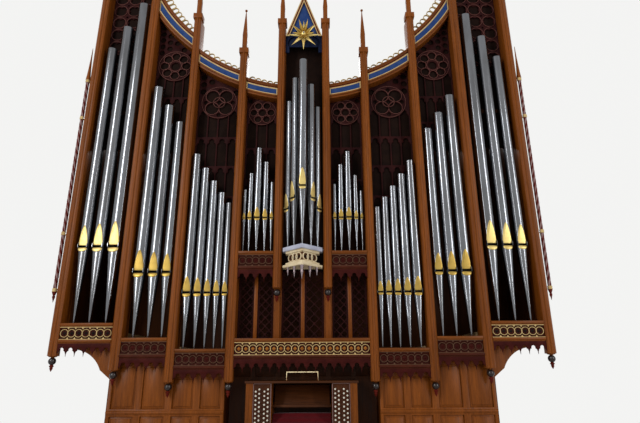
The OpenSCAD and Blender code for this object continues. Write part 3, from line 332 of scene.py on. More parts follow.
@dataclass(frozen=True)
class PipeMetal(Finish):
    """Polished tin of the display pipes, with planing streaks and soft tarnish."""

    colour: Colour
    tarnish: Colour
    roughness: float = 0.2
    streak_scale: float = 60
    cloud_scale: float = 4
    dent_scale: float = 9

    def fill(self, tree: Tree) -> None:
        """Lays long streaks, clouds of tarnish and shallow dents.

        Args:
            tree: The tree of the material.
        """
        streaks = tree.noise(tree.place((1, 1, 0.03)), self.streak_scale, 4)
        clouds = tree.noise(tree.place((1, 1, 0.25)), self.cloud_scale, 4)
        dents = tree.noise(tree.place((1, 1, 0.5)), self.dent_scale, 2)
        colour = tree.blend(tree.spread(clouds, 0.42, 0.68) * 0.8, self.colour, self.tarnish)
        tree.shade(base_color=colour, metallic=1.0,
                   roughness=tree.spread(streaks * 0.6 + clouds * 0.4, 0.35, 0.65,
                                         self.roughness - 0.05, self.roughness + 0.08))
        tree.bump(dents * 0.8 + streaks * 0.2, 0.02, 0.002)


@dataclass(frozen=True)
class Smooth(Finish):
    """A plain turned or moulded stuff, such as ivory or steel, with fine marks."""

    colour: Colour
    roughness: float
    metal: float = 0.0
    mark_scale: float = 120

    def fill(self, tree: Tree) -> None:
        """Lays fine marks.

        Args:
            tree: The tree of the material.
        """
        fine = tree.noise(tree.place(), self.mark_scale, 4)
        colour = tree.blend(tree.spread(fine, 0.4, 0.7) * 0.4, self.colour, tint(self.colour, 0.72))
        tree.shade(base_color=colour, metallic=self.metal,
                   roughness=tree.uneven(fine, self.roughness, 0.05, 0.1))
        tree.bump(fine, 0.1, 0.0005)


@dataclass(frozen=True)
class Cloth(Finish):
    """Woven wool cloth with a soft sheen."""

    colour: Colour
    shade_colour: Colour
    thread: float = 2600
    patch_scale: float = 14

    def fill(self, tree: Tree) -> None:
        """Weaves the threads and lays worn patches.

        Args:
            tree: The tree of the material.
        """
        across = (tree.axis("X") * self.thread).wave()
        along = ((tree.axis("Y") + tree.axis("Z")) * self.thread).wave()
        weave = across * along
        patch = tree.noise(tree.place(), self.patch_scale, 4)
        colour = tree.blend(tree.spread(weave, -1, 1) * 0.5, self.colour, self.shade_colour)
        colour = tree.blend(tree.spread(patch, 0.4, 0.7) * 0.4, colour, self.shade_colour)
        tree.shade(base_color=colour, roughness=0.88, sheen_weight=0.08, sheen_roughness=0.4,
                   specular_ior_level=0.1)
        tree.bump(weave, 0.3, 0.0006)


@dataclass(frozen=True)
class Lacquer(Finish):
    """Dark polish so deep that it mirrors the lamps."""

    colour: Colour
    roughness: float = 0.12
    cloud_scale: float = 30

    def fill(self, tree: Tree) -> None:
        """Lays a faint cloud under the polish.

        Args:
            tree: The tree of the material.
        """
        cloud = tree.noise(tree.place(), self.cloud_scale, 3)
        colour = tree.blend(tree.spread(cloud, 0.4, 0.7) * 0.5, self.colour, tint(self.colour, 2.2))
        tree.shade(base_color=colour, roughness=tree.uneven(cloud, self.roughness, 0, 0.06),
                   specular_ior_level=0.3, coat_weight=0.15, coat_roughness=0.06)
        tree.bump(cloud, 0.04, 0.0006)


OAK_Z = Oak("oak_upright", (0.082, 0.020, 0.002), (0.230, 0.062, 0.007))
OAK_X = Oak("oak_level", (0.070, 0.017, 0.002), (0.190, 0.052, 0.006), Grain.ALONG_X)
DARK_Z = Oak("dark_oak_upright", (0.022, 0.006, 0.001), (0.072, 0.019, 0.003), roughness=0.46)
DARK_X = Oak("dark_oak_level", (0.022, 0.006, 0.001), (0.072, 0.019, 0.003), Grain.ALONG_X, 0.46)
# A lighter oak for the raised fields of the panels: painted light that brings out their relief
LIT_FIELD_OAK = Oak("back_oak", (0.050, 0.014, 0.002), (0.145, 0.042, 0.007), roughness=0.5)
DEAL = Oak("deal", (0.30, 0.19, 0.09), (0.46, 0.32, 0.17), Grain.ALONG_Y, 0.55)
# Near-black painted shade, for faces deep in the case where only shade would fall
PAINTED_SHADE = Paint("shaded_boards", (0.007, 0.003, 0.002), (0.012, 0.005, 0.003), 0.8)
MAROON = Paint("maroon_paint", (0.028, 0.003, 0.002), (0.048, 0.006, 0.004), 0.58)
DEEP_RED = Paint("deep_red", (0.044, 0.009, 0.004), (0.066, 0.015, 0.006), 0.5)
FRIEZE_FIELD = Paint("frieze_field", (0.026, 0.004, 0.002), (0.042, 0.007, 0.003), 0.6)
RED_FIELD = Paint("red_field", (0.070, 0.006, 0.003), (0.105, 0.013, 0.007), 0.55)
AMBER = Paint("amber_paint", (0.300, 0.110, 0.020), (0.200, 0.065, 0.012), 0.4)
# Maroon paint darkened to near-black: painted shade, so the plate between the rings reads as the
# dark behind open tracery
TRACERY_SHADE = Paint("tracery_red", (0.016, 0.003, 0.003), (0.028, 0.005, 0.004), 0.65)
ROSE_LINE = Paint("rose_line", (0.105, 0.040, 0.032), (0.070, 0.022, 0.018), 0.5)
INK = Paint("dark_gem", (0.008, 0.005, 0.004), (0.014, 0.008, 0.006), 0.45)
UMBER = Paint("umber_field", (0.085, 0.030, 0.009), (0.050, 0.017, 0.006), 0.5)
# Very dark blue: blue paint darkened into painted shade behind the gable's arch
DARK_BLUE_SHADE = Paint("dark_blue_board", (0.006, 0.010, 0.030), (0.010, 0.014, 0.034), 0.7)
BLUE = Paint("blue_paint", (0.014, 0.036, 0.125), (0.030, 0.055, 0.140))
GREY_BLUE = Paint("grey_blue_slab", (0.44, 0.45, 0.53), (0.34, 0.34, 0.42), 0.4)
CREAM = Paint("cream_paint", (0.66, 0.55, 0.36), (0.50, 0.37, 0.20), 0.42)
PALE_GOLD = Paint("pale_gilding", (0.50, 0.36, 0.16), (0.34, 0.22, 0.09), 0.4)
# A darker copy of the pale gilding: painted shade on the rings of the bays outside the lit towers
SHADED_GILDING = Paint("dull_gilding", (0.090, 0.045, 0.025), (0.060, 0.022, 0.013), 0.45)
PINK_LINE = Paint("pinkish_line", (0.24, 0.15, 0.14), (0.17, 0.10, 0.09), 0.4)
GILT = GoldLeaf("gold_leaf", (0.60, 0.46, 0.17), (0.44, 0.30, 0.09), 0.4)
# A darker copy of the gold leaf: painted shade on the leaves of the shaded pipes and the leaning
# rays of the star
SHADED_GILT = GoldLeaf("old_gold_leaf", (0.40, 0.265, 0.060), (0.27, 0.165, 0.035), 0.38)
BRASS = GoldLeaf("polished_brass", (0.95, 0.78, 0.48), (0.80, 0.58, 0.30), 0.22)
TIN = PipeMetal("polished_tin", (0.170, 0.176, 0.190), (0.105, 0.105, 0.108), 0.17)
DROP_METAL = PipeMetal("drop_metal", (0.26, 0.21, 0.22), (0.18, 0.14, 0.145), 0.42)
STEEL = Smooth("turned_steel", (0.35, 0.35, 0.36), 0.35, 1.0)
IVORY = Smooth("ivory", (0.58, 0.53, 0.44), 0.3)
BALL = Lacquer("black_lacquer", (0.012, 0.007, 0.006))
# Dark metal for the inside of the pipes: painted shade in the bore and behind the mouth
PIPE_INSIDE_SHADE = PipeMetal("pipe_inside", (0.05, 0.05, 0.055), (0.03, 0.03, 0.03), 0.6)
RED_CLOTH = Cloth("red_cloth", (0.085, 0.003, 0.005), (0.045, 0.002, 0.003))


class Dresser:
    """Keeps one material for each finish and puts it on nodes and pieces."""

    def __init__(self) -> None:
        """Starts with no material made."""
        self.made: dict[str, bpy.types.Material] = {}

    def material(self, finish: Finish) -> bpy.types.Material:
        """The material of a finish, made the first time it is asked for.

        Args:
            finish: The finish.

        Returns:
            Its material.
        """
        if finish.name not in self.made:
            self.made[finish.name] = finish.material()
        return self.made[finish.name]

    def node(self, name: str, finish: Finish) -> None:
        """Gives a CAD node its finish.

        Args:
            name: The node's name.
            finish: The finish.
        """
        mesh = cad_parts[name].data
        mesh.materials.clear()
        mesh.materials.append(self.material(finish))


# Modelling


Test = Callable[[Vector, Vector], bool]


def spot(*values: Number) -> Vector:
    """A point from its numbers."""
    return Vector(values)


def shift(x: float, y: float, z: float) -> Matrix:
    """A move by a distance along each axis."""
    return Matrix.Translation((x, y, z))


def turn(degrees: float, axis: str) -> Matrix:
    """A turn about an axis through the origin."""
    return Matrix.Rotation(math.radians(degrees), 4, axis)


def rings(radius: float, shares: Sequence[Pair]) -> list[Pair]:
    """Radius and height of a turned form's rings, from shares of one radius."""
    return [(radius * share, height) for share, height in shares]


class Piece:
    """A mesh in the making, shaped in edit mode by operators."""

    def __init__(self, name: str, add: Callable[..., object], **options: object) -> None:
        """Adds a primitive and opens it for editing.

        Args:
            name: The name of the piece.
            add: The operator that adds the primitive.
            options: The operator's own options.
        """
        if bpy.context.mode != "OBJECT":
            bpy.ops.object.mode_set(mode="OBJECT")
        bpy.ops.object.select_all(action="DESELECT")
        add(**options)
        self.object = bpy.context.object
        self.object.name = name
        bpy.ops.object.transform_apply(location=True, rotation=True, scale=True)
        bpy.ops.object.mode_set(mode="EDIT")

    @classmethod
    def block(cls, name: str, low: Vector, high: Vector) -> "Piece":
        """A box between two corners.

        Args:
            name: The name of the piece.
            low: Its lowest corner.
            high: Its highest corner.

        Returns:
            The piece, open for editing.
        """
        return cls(name, bpy.ops.mesh.primitive_cube_add, size=1, location=(low + high) / 2,
                   scale=high - low)

    @classmethod
    def turned(cls, name: str, foot: Vector, profile: Sequence[Pair], vertices: int = 32,
               bored: bool = False) -> "Piece":
        """A turned form, extruded ring by ring up the z axis.

        Args:
            name: The name of the piece.
            foot: The point that heights are counted from.
            profile: Radius and height of each ring, from the bottom.
            vertices: How many corners a ring has.
            bored: Whether the profile comes back to its first ring, round a bore.

        Returns:
            The closed form, open for editing.
        """
        radius, height = profile[0]
        made = cls(name, bpy.ops.mesh.primitive_circle_add, radius=radius, vertices=vertices,
                   fill_type="NOTHING" if bored else "NGON", location=foot + spot(0, 0, height))
        for next_radius, next_height in profile[1:]:
            made.extrude(spot(0, 0, next_height - height))
            centre = foot + spot(0, 0, next_height)
            made.scale((next_radius / radius, next_radius / radius, 1), centre)
            radius, height = next_radius, next_height
        made.outward()
        return made

    @classmethod
    def outline(cls, name: str, points: Sequence[Vector], depth: Vector) -> "Piece":
        """A flat outline, made from a circle's corners and extruded.

        Args:
            name: The name of the piece.
            points: The outline's corners in order.
            depth: The extrusion.

        Returns:
            The closed form, open for editing.
        """
        made = cls(name, bpy.ops.mesh.primitive_circle_add, radius=1, vertices=len(points),
                   fill_type="NGON", location=(0, 0, 0))
        mesh = bmesh.from_edit_mesh(made.object.data)
        for vertex, point in zip(mesh.verts, points):
            vertex.co = point
        bmesh.update_edit_mesh(made.object.data)
        made.all()
        made.extrude(depth)
        made.outward()
        return made

    @classmethod
    def from_node(cls, node: str, name: str) -> "Piece":
        """A merged copy of a CAD node, which it replaces.

        Args:
            node: The node's name.
            name: The name of the piece.

        Returns:
            The copy, open for editing.
        """
        made = cls(name, bpy.ops.mesh.primitive_plane_add)
        bpy.ops.object.mode_set(mode="OBJECT")
        made.object.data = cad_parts[node].data.copy()
        made.object.data.name = name
        made.object.data.materials.clear()
        bpy.ops.object.mode_set(mode="EDIT")
        made.all()
        bpy.ops.mesh.remove_doubles(threshold=0.00002)
        return made.all()

    @staticmethod
    def gather(name: str, parts: Sequence["Piece"]) -> "Piece":
        """Joins parts into one piece.

        Args:
            name: The name of the piece.
            parts: What it is made of, in order.

        Returns:
            The piece, closed.
        """
        parts[0].object.name = name
        return parts[0].join(parts[1:])

    def _select(self, kind: str, test: Test) -> "Piece":
        """Selects faces, edges or vertices.

        Args:
            kind: FACE, EDGE or VERT.
            test: Picks them by their middle and their normal or direction.

        Returns:
            The piece.
        """
        bpy.ops.mesh.select_mode(type=kind)
        bpy.ops.mesh.select_all(action="DESELECT")
        mesh = bmesh.from_edit_mesh(self.object.data)
        if kind == "FACE":
            items = [(face, face.calc_center_median(), face.normal) for face in mesh.faces]
        elif kind == "EDGE":
            ends = [(edge, edge.verts[0].co, edge.verts[1].co) for edge in mesh.edges]
            items = [(edge, (a + b) / 2, (b - a).normalized()) for edge, a, b in ends]
        else:
            items = [(vertex, vertex.co, vertex.normal) for vertex in mesh.verts]
        for item, middle, direction in items:
            if test(middle, direction):
                item.select_set(True)
        mesh.select_flush_mode()
        bmesh.update_edit_mesh(self.object.data)
        return self

    def dress(self, dresser: Dresser, finish: Finish) -> "Piece":
        """Gives the whole piece one finish.

        Args:
            dresser: Where the material comes from.
            finish: The finish.

        Returns:
            The piece.
        """
        self.object.data.materials.clear()
        self.object.data.materials.append(dresser.material(finish))
        return self

    def paint(self, dresser: Dresser, finish: Finish) -> "Piece":
        """Gives the selected faces a finish of their own.

        Args:
            dresser: Where the material comes from.
            finish: The finish.

        Returns:
            The piece.
        """
        material = dresser.material(finish)
        held = self.object.data.materials
        if material.name not in held:
            held.append(material)
        self.object.active_material_index = held.find(material.name)
        bpy.ops.object.material_slot_assign()
        return self

    def all(self) -> "Piece":
        """Selects everything.

        Returns:
            The piece.
        """
        bpy.ops.mesh.select_mode(type="FACE")
        bpy.ops.mesh.select_all(action="SELECT")
        return self

    def faces(self, test: Test) -> "Piece":
        """Selects the faces that a test of middle and normal picks."""
        return self._select("FACE", test)

    def edges(self, test: Test) -> "Piece":
        """Selects the edges that a test of middle and direction picks."""
        return self._select("EDGE", test)

    def points(self, test: Test) -> "Piece":
        """Selects the vertices that a test of place and normal picks."""
        return self._select("VERT", test)

    def extrude(self, by: Vector) -> "Piece":
        """Extrudes what is selected."""
        bpy.ops.mesh.extrude_region_move(TRANSFORM_OT_translate={"value": tuple(by)})
        return self

    def inset(self, width: float, depth: float = 0.0, each: bool = False) -> "Piece":
        """Insets the selected faces, and moves them out by a depth."""
        bpy.ops.mesh.inset(thickness=width, depth=depth, use_individual=each)
        return self

    def bevel(self, width: float, segments: int = 2) -> "Piece":
        """Bevels the selected edges."""
        bpy.ops.mesh.bevel(offset=width, segments=segments, affect="EDGES", clamp_overlap=True)
        return self

    def move(self, by: Vector) -> "Piece":
        """Moves what is selected."""
        bpy.ops.transform.translate(value=tuple(by))
        return self

    def scale(self, factors: Triple, centre: Vector) -> "Piece":
        """Scales what is selected about a point."""
        bpy.ops.transform.resize(value=factors, center_override=tuple(centre))
        return self

    def turn(self, degrees: float, axis: str, centre: Vector) -> "Piece":
        """Turns what is selected about an axis through a point, counterclockwise.

        Args:
            degrees: The angle.
            axis: X, Y or Z.
            centre: A point on the axis.

        Returns:
            The piece.
        """
        bpy.ops.transform.rotate(value=-math.radians(degrees), orient_axis=axis,
                                 center_override=tuple(centre))
        return self

    def cut(self, point: Vector, normal: Vector) -> "Piece":
        """Cuts everything by a plane, and keeps both sides.

        Args:
            point: A point on the plane.
            normal: The way the plane faces.

        Returns:
            The piece.
        """
        self.all()
        bpy.ops.mesh.bisect(plane_co=tuple(point), plane_no=tuple(normal))
        return self

    def outward(self) -> "Piece":
        """Merges doubles and points every face outward.

        Returns:
            The piece.
        """
        self.all()
        bpy.ops.mesh.remove_doubles(threshold=0.000005)
        bpy.ops.mesh.normals_make_consistent(inside=False)
        return self

    def copy(self, name: str, change: Matrix) -> "Piece":
        """Another piece of the same shape, with its own mesh.

        Args:
            name: The name of the copy.
            change: What is done to its shape.

        Returns:
            The copy, open for editing.
        """
        bpy.ops.object.mode_set(mode="OBJECT")
        made = object.__new__(Piece)
        made.object = self.object.copy()
        made.object.data = self.object.data.copy()
        made.object.name = name
        bpy.context.scene.collection.objects.link(made.object)
        made.object.data.transform(change)
        if change.determinant() < 0:
            made.object.data.flip_normals()
        return made

    def close(self) -> bpy.types.Object:
        """Leaves edit mode.

        Returns:
            The object.
        """
        if bpy.context.mode != "OBJECT":
            bpy.ops.object.mode_set(mode="OBJECT")
        bpy.ops.object.select_all(action="DESELECT")
        self.object.select_set(True)
        bpy.context.view_layer.objects.active = self.object
        return self.object

    def remove(self) -> None:
        """Throws the piece away, once its copies are made."""
        self.close()
        bpy.data.objects.remove(self.object)

    def modify(self, kind: str, **options: object) -> "Piece":
        """Adds a modifier and applies it.

        Args:
            kind: Blender's name of the modifier.
            options: Its settings.

        Returns:
            The piece, closed.
        """
        self.close()
        made = self.object.modifiers.new(kind.title(), kind)
        for key, value in options.items():
            setattr(made, key, value)
        bpy.ops.object.modifier_apply(modifier=made.name)
        return self

    def soften(self, width: float, segments: int = 2, angle: float = 32) -> "Piece":
        """Bevels every sharp edge with a modifier.

        Args:
            width: The width of the bevel.
            segments: How round it is.
            angle: The angle in degrees over which an edge is sharp.

        Returns:
            The piece, closed.
        """
        return self.modify("BEVEL", width=width, segments=segments, limit_method="ANGLE",
                           angle_limit=math.radians(angle), harden_normals=False,
                           miter_outer="MITER_ARC")

    def join(self, others: Sequence["Piece"]) -> "Piece":
        """Takes other pieces into this one.

        Args:
            others: The pieces that come in.

        Returns:
            The piece, closed.
        """
        self.close()
        for other in others:
            other.object.select_set(True)
        bpy.ops.object.join()
        return self

    def finish(
        self,
        dresser: Dresser,
        finish: Finish,
        slot: str,
        *nodes: str,
        body: str = CASE,
        smooth: float = 38,
    ) -> bpy.types.Object:
        """Dresses the piece and ties it to the frame.

        Args:
            dresser: Where its material comes from.
            finish: Its finish, if it has none on its faces yet.
            slot: Not used.
            nodes: The CAD nodes that it stands for.
            body: The body that it rides on.
            smooth: The angle in degrees under which edges are shaded smooth.

        Returns:
            The finished object.
        """
        made = self.close()
        bpy.ops.object.shade_smooth_by_angle(angle=math.radians(smooth))
        if not made.data.materials:
            made.data.materials.append(dresser.material(finish))
        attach(made, body)
        if nodes:
            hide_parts(*nodes)
        LOG.info("%s: %d faces", made.name, len(made.data.polygons))
        return made


@dataclass(frozen=True)
class Easing:
    """How one CAD node is worked over: finish, eased edges, and the faces painted otherwise."""

    node: str
    finish: Finish
    slot: str
    width: float = 0.004
    segments: int = 2
    paints: tuple[tuple[Finish, Test], ...] = ()


@dataclass
class Trade:
    """What every sub-assembly does: it works over nodes of the CAD model."""

    dresser: Dresser

    def ease(self, part: Easing) -> Piece:
        """Copies a node, dresses it and leaves it open for more.

        Args:
            part: The node and its finishes.

        Returns:
            The copy, open for editing.
        """
        made = Piece.from_node(part.node, part.node + "_eased")
        made.dress(self.dresser, part.finish)
        for finish, test in part.paints:
            made.faces(test).paint(self.dresser, finish)
        return made

    def fix(self, made: Piece, part: Easing) -> None:
        """Eases the edges and ties the piece to its node.

        Args:
            made: The copy that was worked over.
            part: Its node.
        """
        made.soften(part.width, part.segments)
        made.finish(self.dresser, part.finish, part.slot, part.node)

    def build(self) -> None:
        """Builds the whole sub-assembly."""
        raise NotImplementedError


# Pipes


@dataclass(frozen=True)
class Rank:
    """The pipes of one bay, from the middle of the organ outward.

    Notes are semitones over the longest pipe, and feet are in metres.
    """

    name: str
    notes: tuple[float, ...]
    foot: tuple[float, ...]
    span: Pair
    shelf: float
    wide: float = 1.0
    lip: float = 2.05
    gilt: Finish = GILT


@dataclass
class FluePipe:
    """One display pipe with a cone foot, pressed lips, ears and an open top."""

    name: str
    note: float
    foot: float
    wide: float
    lip_high: float = 2.05
    longest: float = 5.12
    widest: float = 0.207
    halving: float = 16
    wall: float = 0.003
    toe: float = 0.14
    press: float = 0.2
    mouth_high: float = 0.2
    mouth_half: float = 0.395
    low_lip: float = 0.5
    sides: int = 48

    @property
    def dia(self) -> float:
        """Diameter of the body."""
        return self.widest * self.wide * 2 ** (-self.note / self.halving)

    @property
    def body(self) -> float:
        """Length of the body."""
        return self.longest * 2 ** (-self.note / 12)

    @property
    def mouth(self) -> float:
        """Height of the upper lip's edge."""
        return self.foot + self.mouth_high * self.dia

    def tube(self, dresser: Dresser) -> Piece:
        """The body: a tube, cut by a leaning plane for the lip and opened for the mouth.

        Args:
            dresser: Where the materials come from.

        Returns:
            The body, closed.
        """
        d, mouth = self.dia, self.mouth
        made = Piece(self.name, bpy.ops.mesh.primitive_cylinder_add, vertices=self.sides,
                     radius=d / 2, depth=self.body, end_fill_type="NOTHING",
                     location=(0, 0, self.foot + self.body / 2))
        made.cut(spot(0, 0, mouth), spot(0, 0, 1))
        made.faces(lambda c, n: c.z > mouth)
        lean = spot(0, -self.lip_high, -self.press).normalized()
        bpy.ops.mesh.bisect(plane_co=(0, (self.press - 0.5) * d, mouth), plane_no=tuple(lean),
                            clear_outer=True)
        bpy.ops.mesh.edge_face_add()
        made.faces(lambda c, n: c.z < mouth and c.y < 0 and abs(c.x) < self.mouth_half * d)
        bpy.ops.mesh.delete(type="FACE")
        made.outward()
        # the inside of the wall takes the dark metal: painted shade, so the mouth reads dark
        for finish in (TIN, PIPE_INSIDE_SHADE):
            made.object.data.materials.append(dresser.material(finish))
        made.modify("SOLIDIFY", thickness=self.wall, offset=-1, material_offset=1,
                    use_even_offset=False)
        return made

    def cone(self) -> Piece:
        """The foot: a cone with a rounded toe, cut by a plane for the lower lip.

        Returns:
            The foot, open for editing.
        """
        d, foot = self.dia, self.foot
        toe = self.toe * d / 2
        made = Piece.turned(self.name + "_foot", spot(0, 0, 0),
                            [(toe * 0.7, 0), (toe, 0.012), (0.26 * d, foot * 0.47),
                             (0.492 * d, foot - 0.09 * d), (d / 2, foot)], self.sides)
        made.all()
        lean = spot(0, -self.low_lip, self.press).normalized()
        bpy.ops.mesh.bisect(plane_co=(0, (self.press - 0.5) * d, foot), plane_no=tuple(lean),
                            clear_outer=True, use_fill=True)
        return made.outward()

    def ears(self) -> list[Piece]:
        """The plates at both sides of the mouth.

        Returns:
            Both plates.
        """
        d = self.dia
        made = []
        for side in (-1, 1):
            x = sorted((side * 0.385 * d, side * 0.41 * d))
            ear = Piece.block(self.name + "_ear", spot(x[0], -0.47 * d, self.foot - 0.06 * d),
                              spot(x[1], -0.29 * d, self.foot + 0.4 * d))
            ear.edges(lambda c, n: c.y < -0.46 * d and abs(n.x) > 0.9)
            made.append(ear.bevel(0.1 * d, 3))
        return made

    def leaf(self) -> Piece:
        """The gilded leaf on the flat of the upper lip.

        Returns:
            The leaf, open for editing.
        """
        d, high = self.dia, self.lip_high * self.dia * 0.985
        half = [(0, 0.37), (0.12, 0.372), (0.3, 0.350), (0.5, 0.300), (0.65, 0.250), (0.76, 0.200),
                (0.86, 0.140), (0.93, 0.088), (0.975, 0.042)]
        right = [spot(w * d, 0, t * high) for t, w in half]
        left = [spot(-w * d, 0, t * high) for t, w in reversed(half)]
        edge = right + [spot(0, 0, high)] + left
        made = Piece.outline(self.name + "_leaf", edge, spot(0, -0.0016, 0))
        made.faces(lambda c, n: n.y < -0.9)
        made.inset(0.03 * d, 0.012 * d)
        made.inset(0.05 * d, 0.006 * d)
        made.all().turn(math.degrees(math.atan2(self.press, self.lip_high)), "X", spot(0, 0, 0))
        return made.move(spot(0, (self.press - 0.5) * d, self.mouth))

    def lower_lip(self) -> Piece:
        """The gilded boss on the lower lip, a half moon that swells forward.

        Returns:
            The boss, open for editing.
        """
        d = self.dia
        count = 14
        edge = [spot(0.4 * d * math.cos(a), 0, -0.4 * d * math.sin(a) ** 0.6)
                for a in (math.pi * i / count for i in range(count + 1))]
        made = Piece.outline(self.name + "_boss", edge, spot(0, -0.02 * d, 0))
        made.faces(lambda c, n: n.y < -0.9)
        made.inset(0.03 * d, 0.035 * d)
        made.inset(0.06 * d, 0.022 * d)
        made.all().turn(-math.degrees(math.atan2(self.press, self.low_lip)), "X", spot(0, 0, 0))
        return made.move(spot(0, (self.press - 0.5) * d, self.foot - 0.012 * d))


@dataclass
class Pipework(Trade):
    """All the display pipes, bay by bay."""

    pipe_y: float = FACE_Y + 0.14
    ranks: tuple[Rank, ...] = (
        Rank("tower_pipes", (0, 2, 4), (1.29,) * 3, TOWER_BAY, TOWER_SHELF, 1.12, 1.86),
        # the outer, inner and alcove pipes take the darker gold leaf, which is painted shade
        Rank("outer_pipes", (10, 8, 6), (1.08,) * 3, OUTER_BAY, OUTER_SHELF, 1.36, 1.68, SHADED_GILT),
        Rank("inner_pipes", (20, 18, 16, 14, 12), (0.91,) * 5, INNER_BAY, INNER_SHELF,
             1.4, 1.5, SHADED_GILT),
        Rank("alcove_pipes", (35, 27, 23, 31, 39), (0.62,) * 5, ALCOVE_BAY, ALCOVE_SHELF,
             1.66, 1.4, SHADED_GILT),
    )
    centre: Rank = Rank("centre_pipes", (15, 13, 12, 14, 16), (0.695, 0.865, 1.04, 0.865, 0.695),
                        (-0.26, 0.26), 3.6, 1.25)
    centre_x: tuple[float, ...] = (-0.26, -0.146, 0, 0.146, 0.26)
    centre_front: float = FACE_Y + 0.012 - 0.34 + 0.12

    def places(self, rank: Rank, side: int) -> Iterator[tuple[FluePipe, Vector]]:
        """The pipes of a bay and where they stand, as the CAD model sets them out.

        Args:
            rank: The pipes of the bay.
            side: -1 on the left, 1 on the right.

        Yields:
            Each pipe, and the place of its toe.
        """
        pipes = [
            FluePipe(f"{rank.name}_{side}_{i}", note + max(side, 0), foot, rank.wide, rank.lip)
            for i, (note, foot) in enumerate(zip(rank.notes, rank.foot))]
        gap = (rank.span[1] - rank.span[0] - sum(pipe.dia for pipe in pipes)) / (len(pipes) + 1)
        x = rank.span[0]
        for pipe in pipes:
            x += gap + pipe.dia / 2
            yield pipe, spot(side * x, self.pipe_y, rank.shelf)
            x += pipe.dia / 2

    def bay(
        self, name: str, rank: Rank, pipes: Sequence[tuple[FluePipe, Matrix]], gilt: list[Piece]
    ) -> None:
        """Models the pipes of one bay as one piece, and keeps their gilded parts.

        Args:
            name: The name of the piece.
            rank: What the pipes belong to.
            pipes: Each pipe, and how it is brought to its place.
            gilt: The list that takes the gilded parts.
        """
        metal: list[Piece] = []
        for pipe, place in pipes:
            for part in [pipe.tube(self.dresser), pipe.cone(), *pipe.ears()]:
                part.close().data.transform(place)
                if not part.object.data.materials:
                    part.object.data.materials.append(self.dresser.material(TIN))
                metal.append(part)
            for part in (pipe.leaf(), pipe.lower_lip()):
                part.dress(self.dresser, rank.gilt).close().data.transform(place)
                gilt.append(part)
        Piece.gather(name, metal).finish(self.dresser, TIN, "pipe_metal", rank.name)

    def build(self) -> None:
        """Models every pipe."""
        gilt: list[Piece] = []
        for rank in self.ranks:
            for side, hand in ((-1, "left"), (1, "right")):
                placed = [(pipe, shift(*place)) for pipe, place in self.places(rank, side)]
                self.bay(f"{rank.name}_{hand}", rank, placed, gilt)
        rank, placed = self.centre, []
        for i, x in enumerate(self.centre_x):
            pipe = FluePipe(f"centre_{i}", rank.notes[i], rank.foot[i], rank.wide)
            facing = turn(45 * ((x > 0) - (x < 0)), "Z")
            placed.append((pipe, shift(x, self.centre_front + abs(x), rank.shelf) @ facing))
        self.bay("centre_tower_pipes", rank, placed, gilt)
        whole = Piece.gather("gilded_mouths", gilt)
        whole.finish(self.dresser, GILT, "gilding", "gilded_lips")


# Carpentry


def front_at(depth: float, low: float = -1.0, high: float = 99.0) -> Test:
    """Picks the front faces that lie at a depth behind the face of the posts.

    Args:
        depth: The depth in metres.
        low: The lowest middle.
        high: The highest middle.

    Returns:
        The test.
    """
    return lambda c, n: n.y < -0.9 and abs(c.y - FACE_Y - depth) < 0.002 and low < c.z < high


def low_moulding(c: Vector, n: Vector) -> bool:
    """Picks what lies under the rings of the level shelves.

    Args:
        c: The middle of a face.
        n: Its normal.

    Returns:
        Whether it lies there.
    """
    if abs(c.x) > 1.17:
        shelf = OUTER_SHELF if abs(c.x) > 2.1 else INNER_SHELF
    else:
        shelf = ALCOVE_SHELF if c.z > 3 else MIDDLE_SHELF
    return c.z < shelf - RINGS_LOW


@dataclass
class Joinery(Trade):
    """The carpentry of the case: posts, shelves, panels, braces, walls and rails."""

    parts: tuple[Easing, ...] = (
        Easing("plinth", DARK_X, "dark_oak", 0.006),
        Easing("lower_frame", OAK_Z, "oak", 0.005),
        Easing("lower_panels", OAK_Z, "dark_oak", 0.004),
        Easing("recess_panelling", DARK_Z, "dark_oak", 0.004),
        Easing("side_walls", DARK_Z, "dark_oak", 0.003),
        # the back wall's faces behind the screens take the near-black painted shade
        Easing("back_wall", DARK_Z, "dark_oak", 0.002, 1, ((PAINTED_SHADE, front_at(0.3)),)),
        Easing("soundboards", DEAL, "pale_wood", 0.003, 1),
        Easing("knee_braces", OAK_Z, "oak", 0.006, 3),
        Easing("tower_posts_outer", OAK_Z, "oak", 0.005, 3),
        Easing("tower_posts_inner", OAK_Z, "oak", 0.005, 3),
        Easing("flat_posts", OAK_Z, "oak", 0.005, 3),
        Easing("centre_posts", OAK_Z, "oak", 0.005, 3),
        Easing("tower_shelves", OAK_X, "oak", 0.004, 2, ((FRIEZE_FIELD, front_at(FIELD_DEPTH)),)),
        Easing("flat_shelves", OAK_X, "oak", 0.004, 2,
               ((DEEP_RED, low_moulding), (FRIEZE_FIELD, front_at(FIELD_DEPTH)))),
        Easing("rack_rails", DARK_X, "oak", 0.004),
        Easing("valances", MAROON, "dark_oak", 0.0025),
        Easing("music_desk", DARK_X, "dark_oak", 0.004, 3),
    )

    def build(self) -> None:
        """Works over every part."""
        for part in self.parts:
            self.fix(self.ease(part), part)


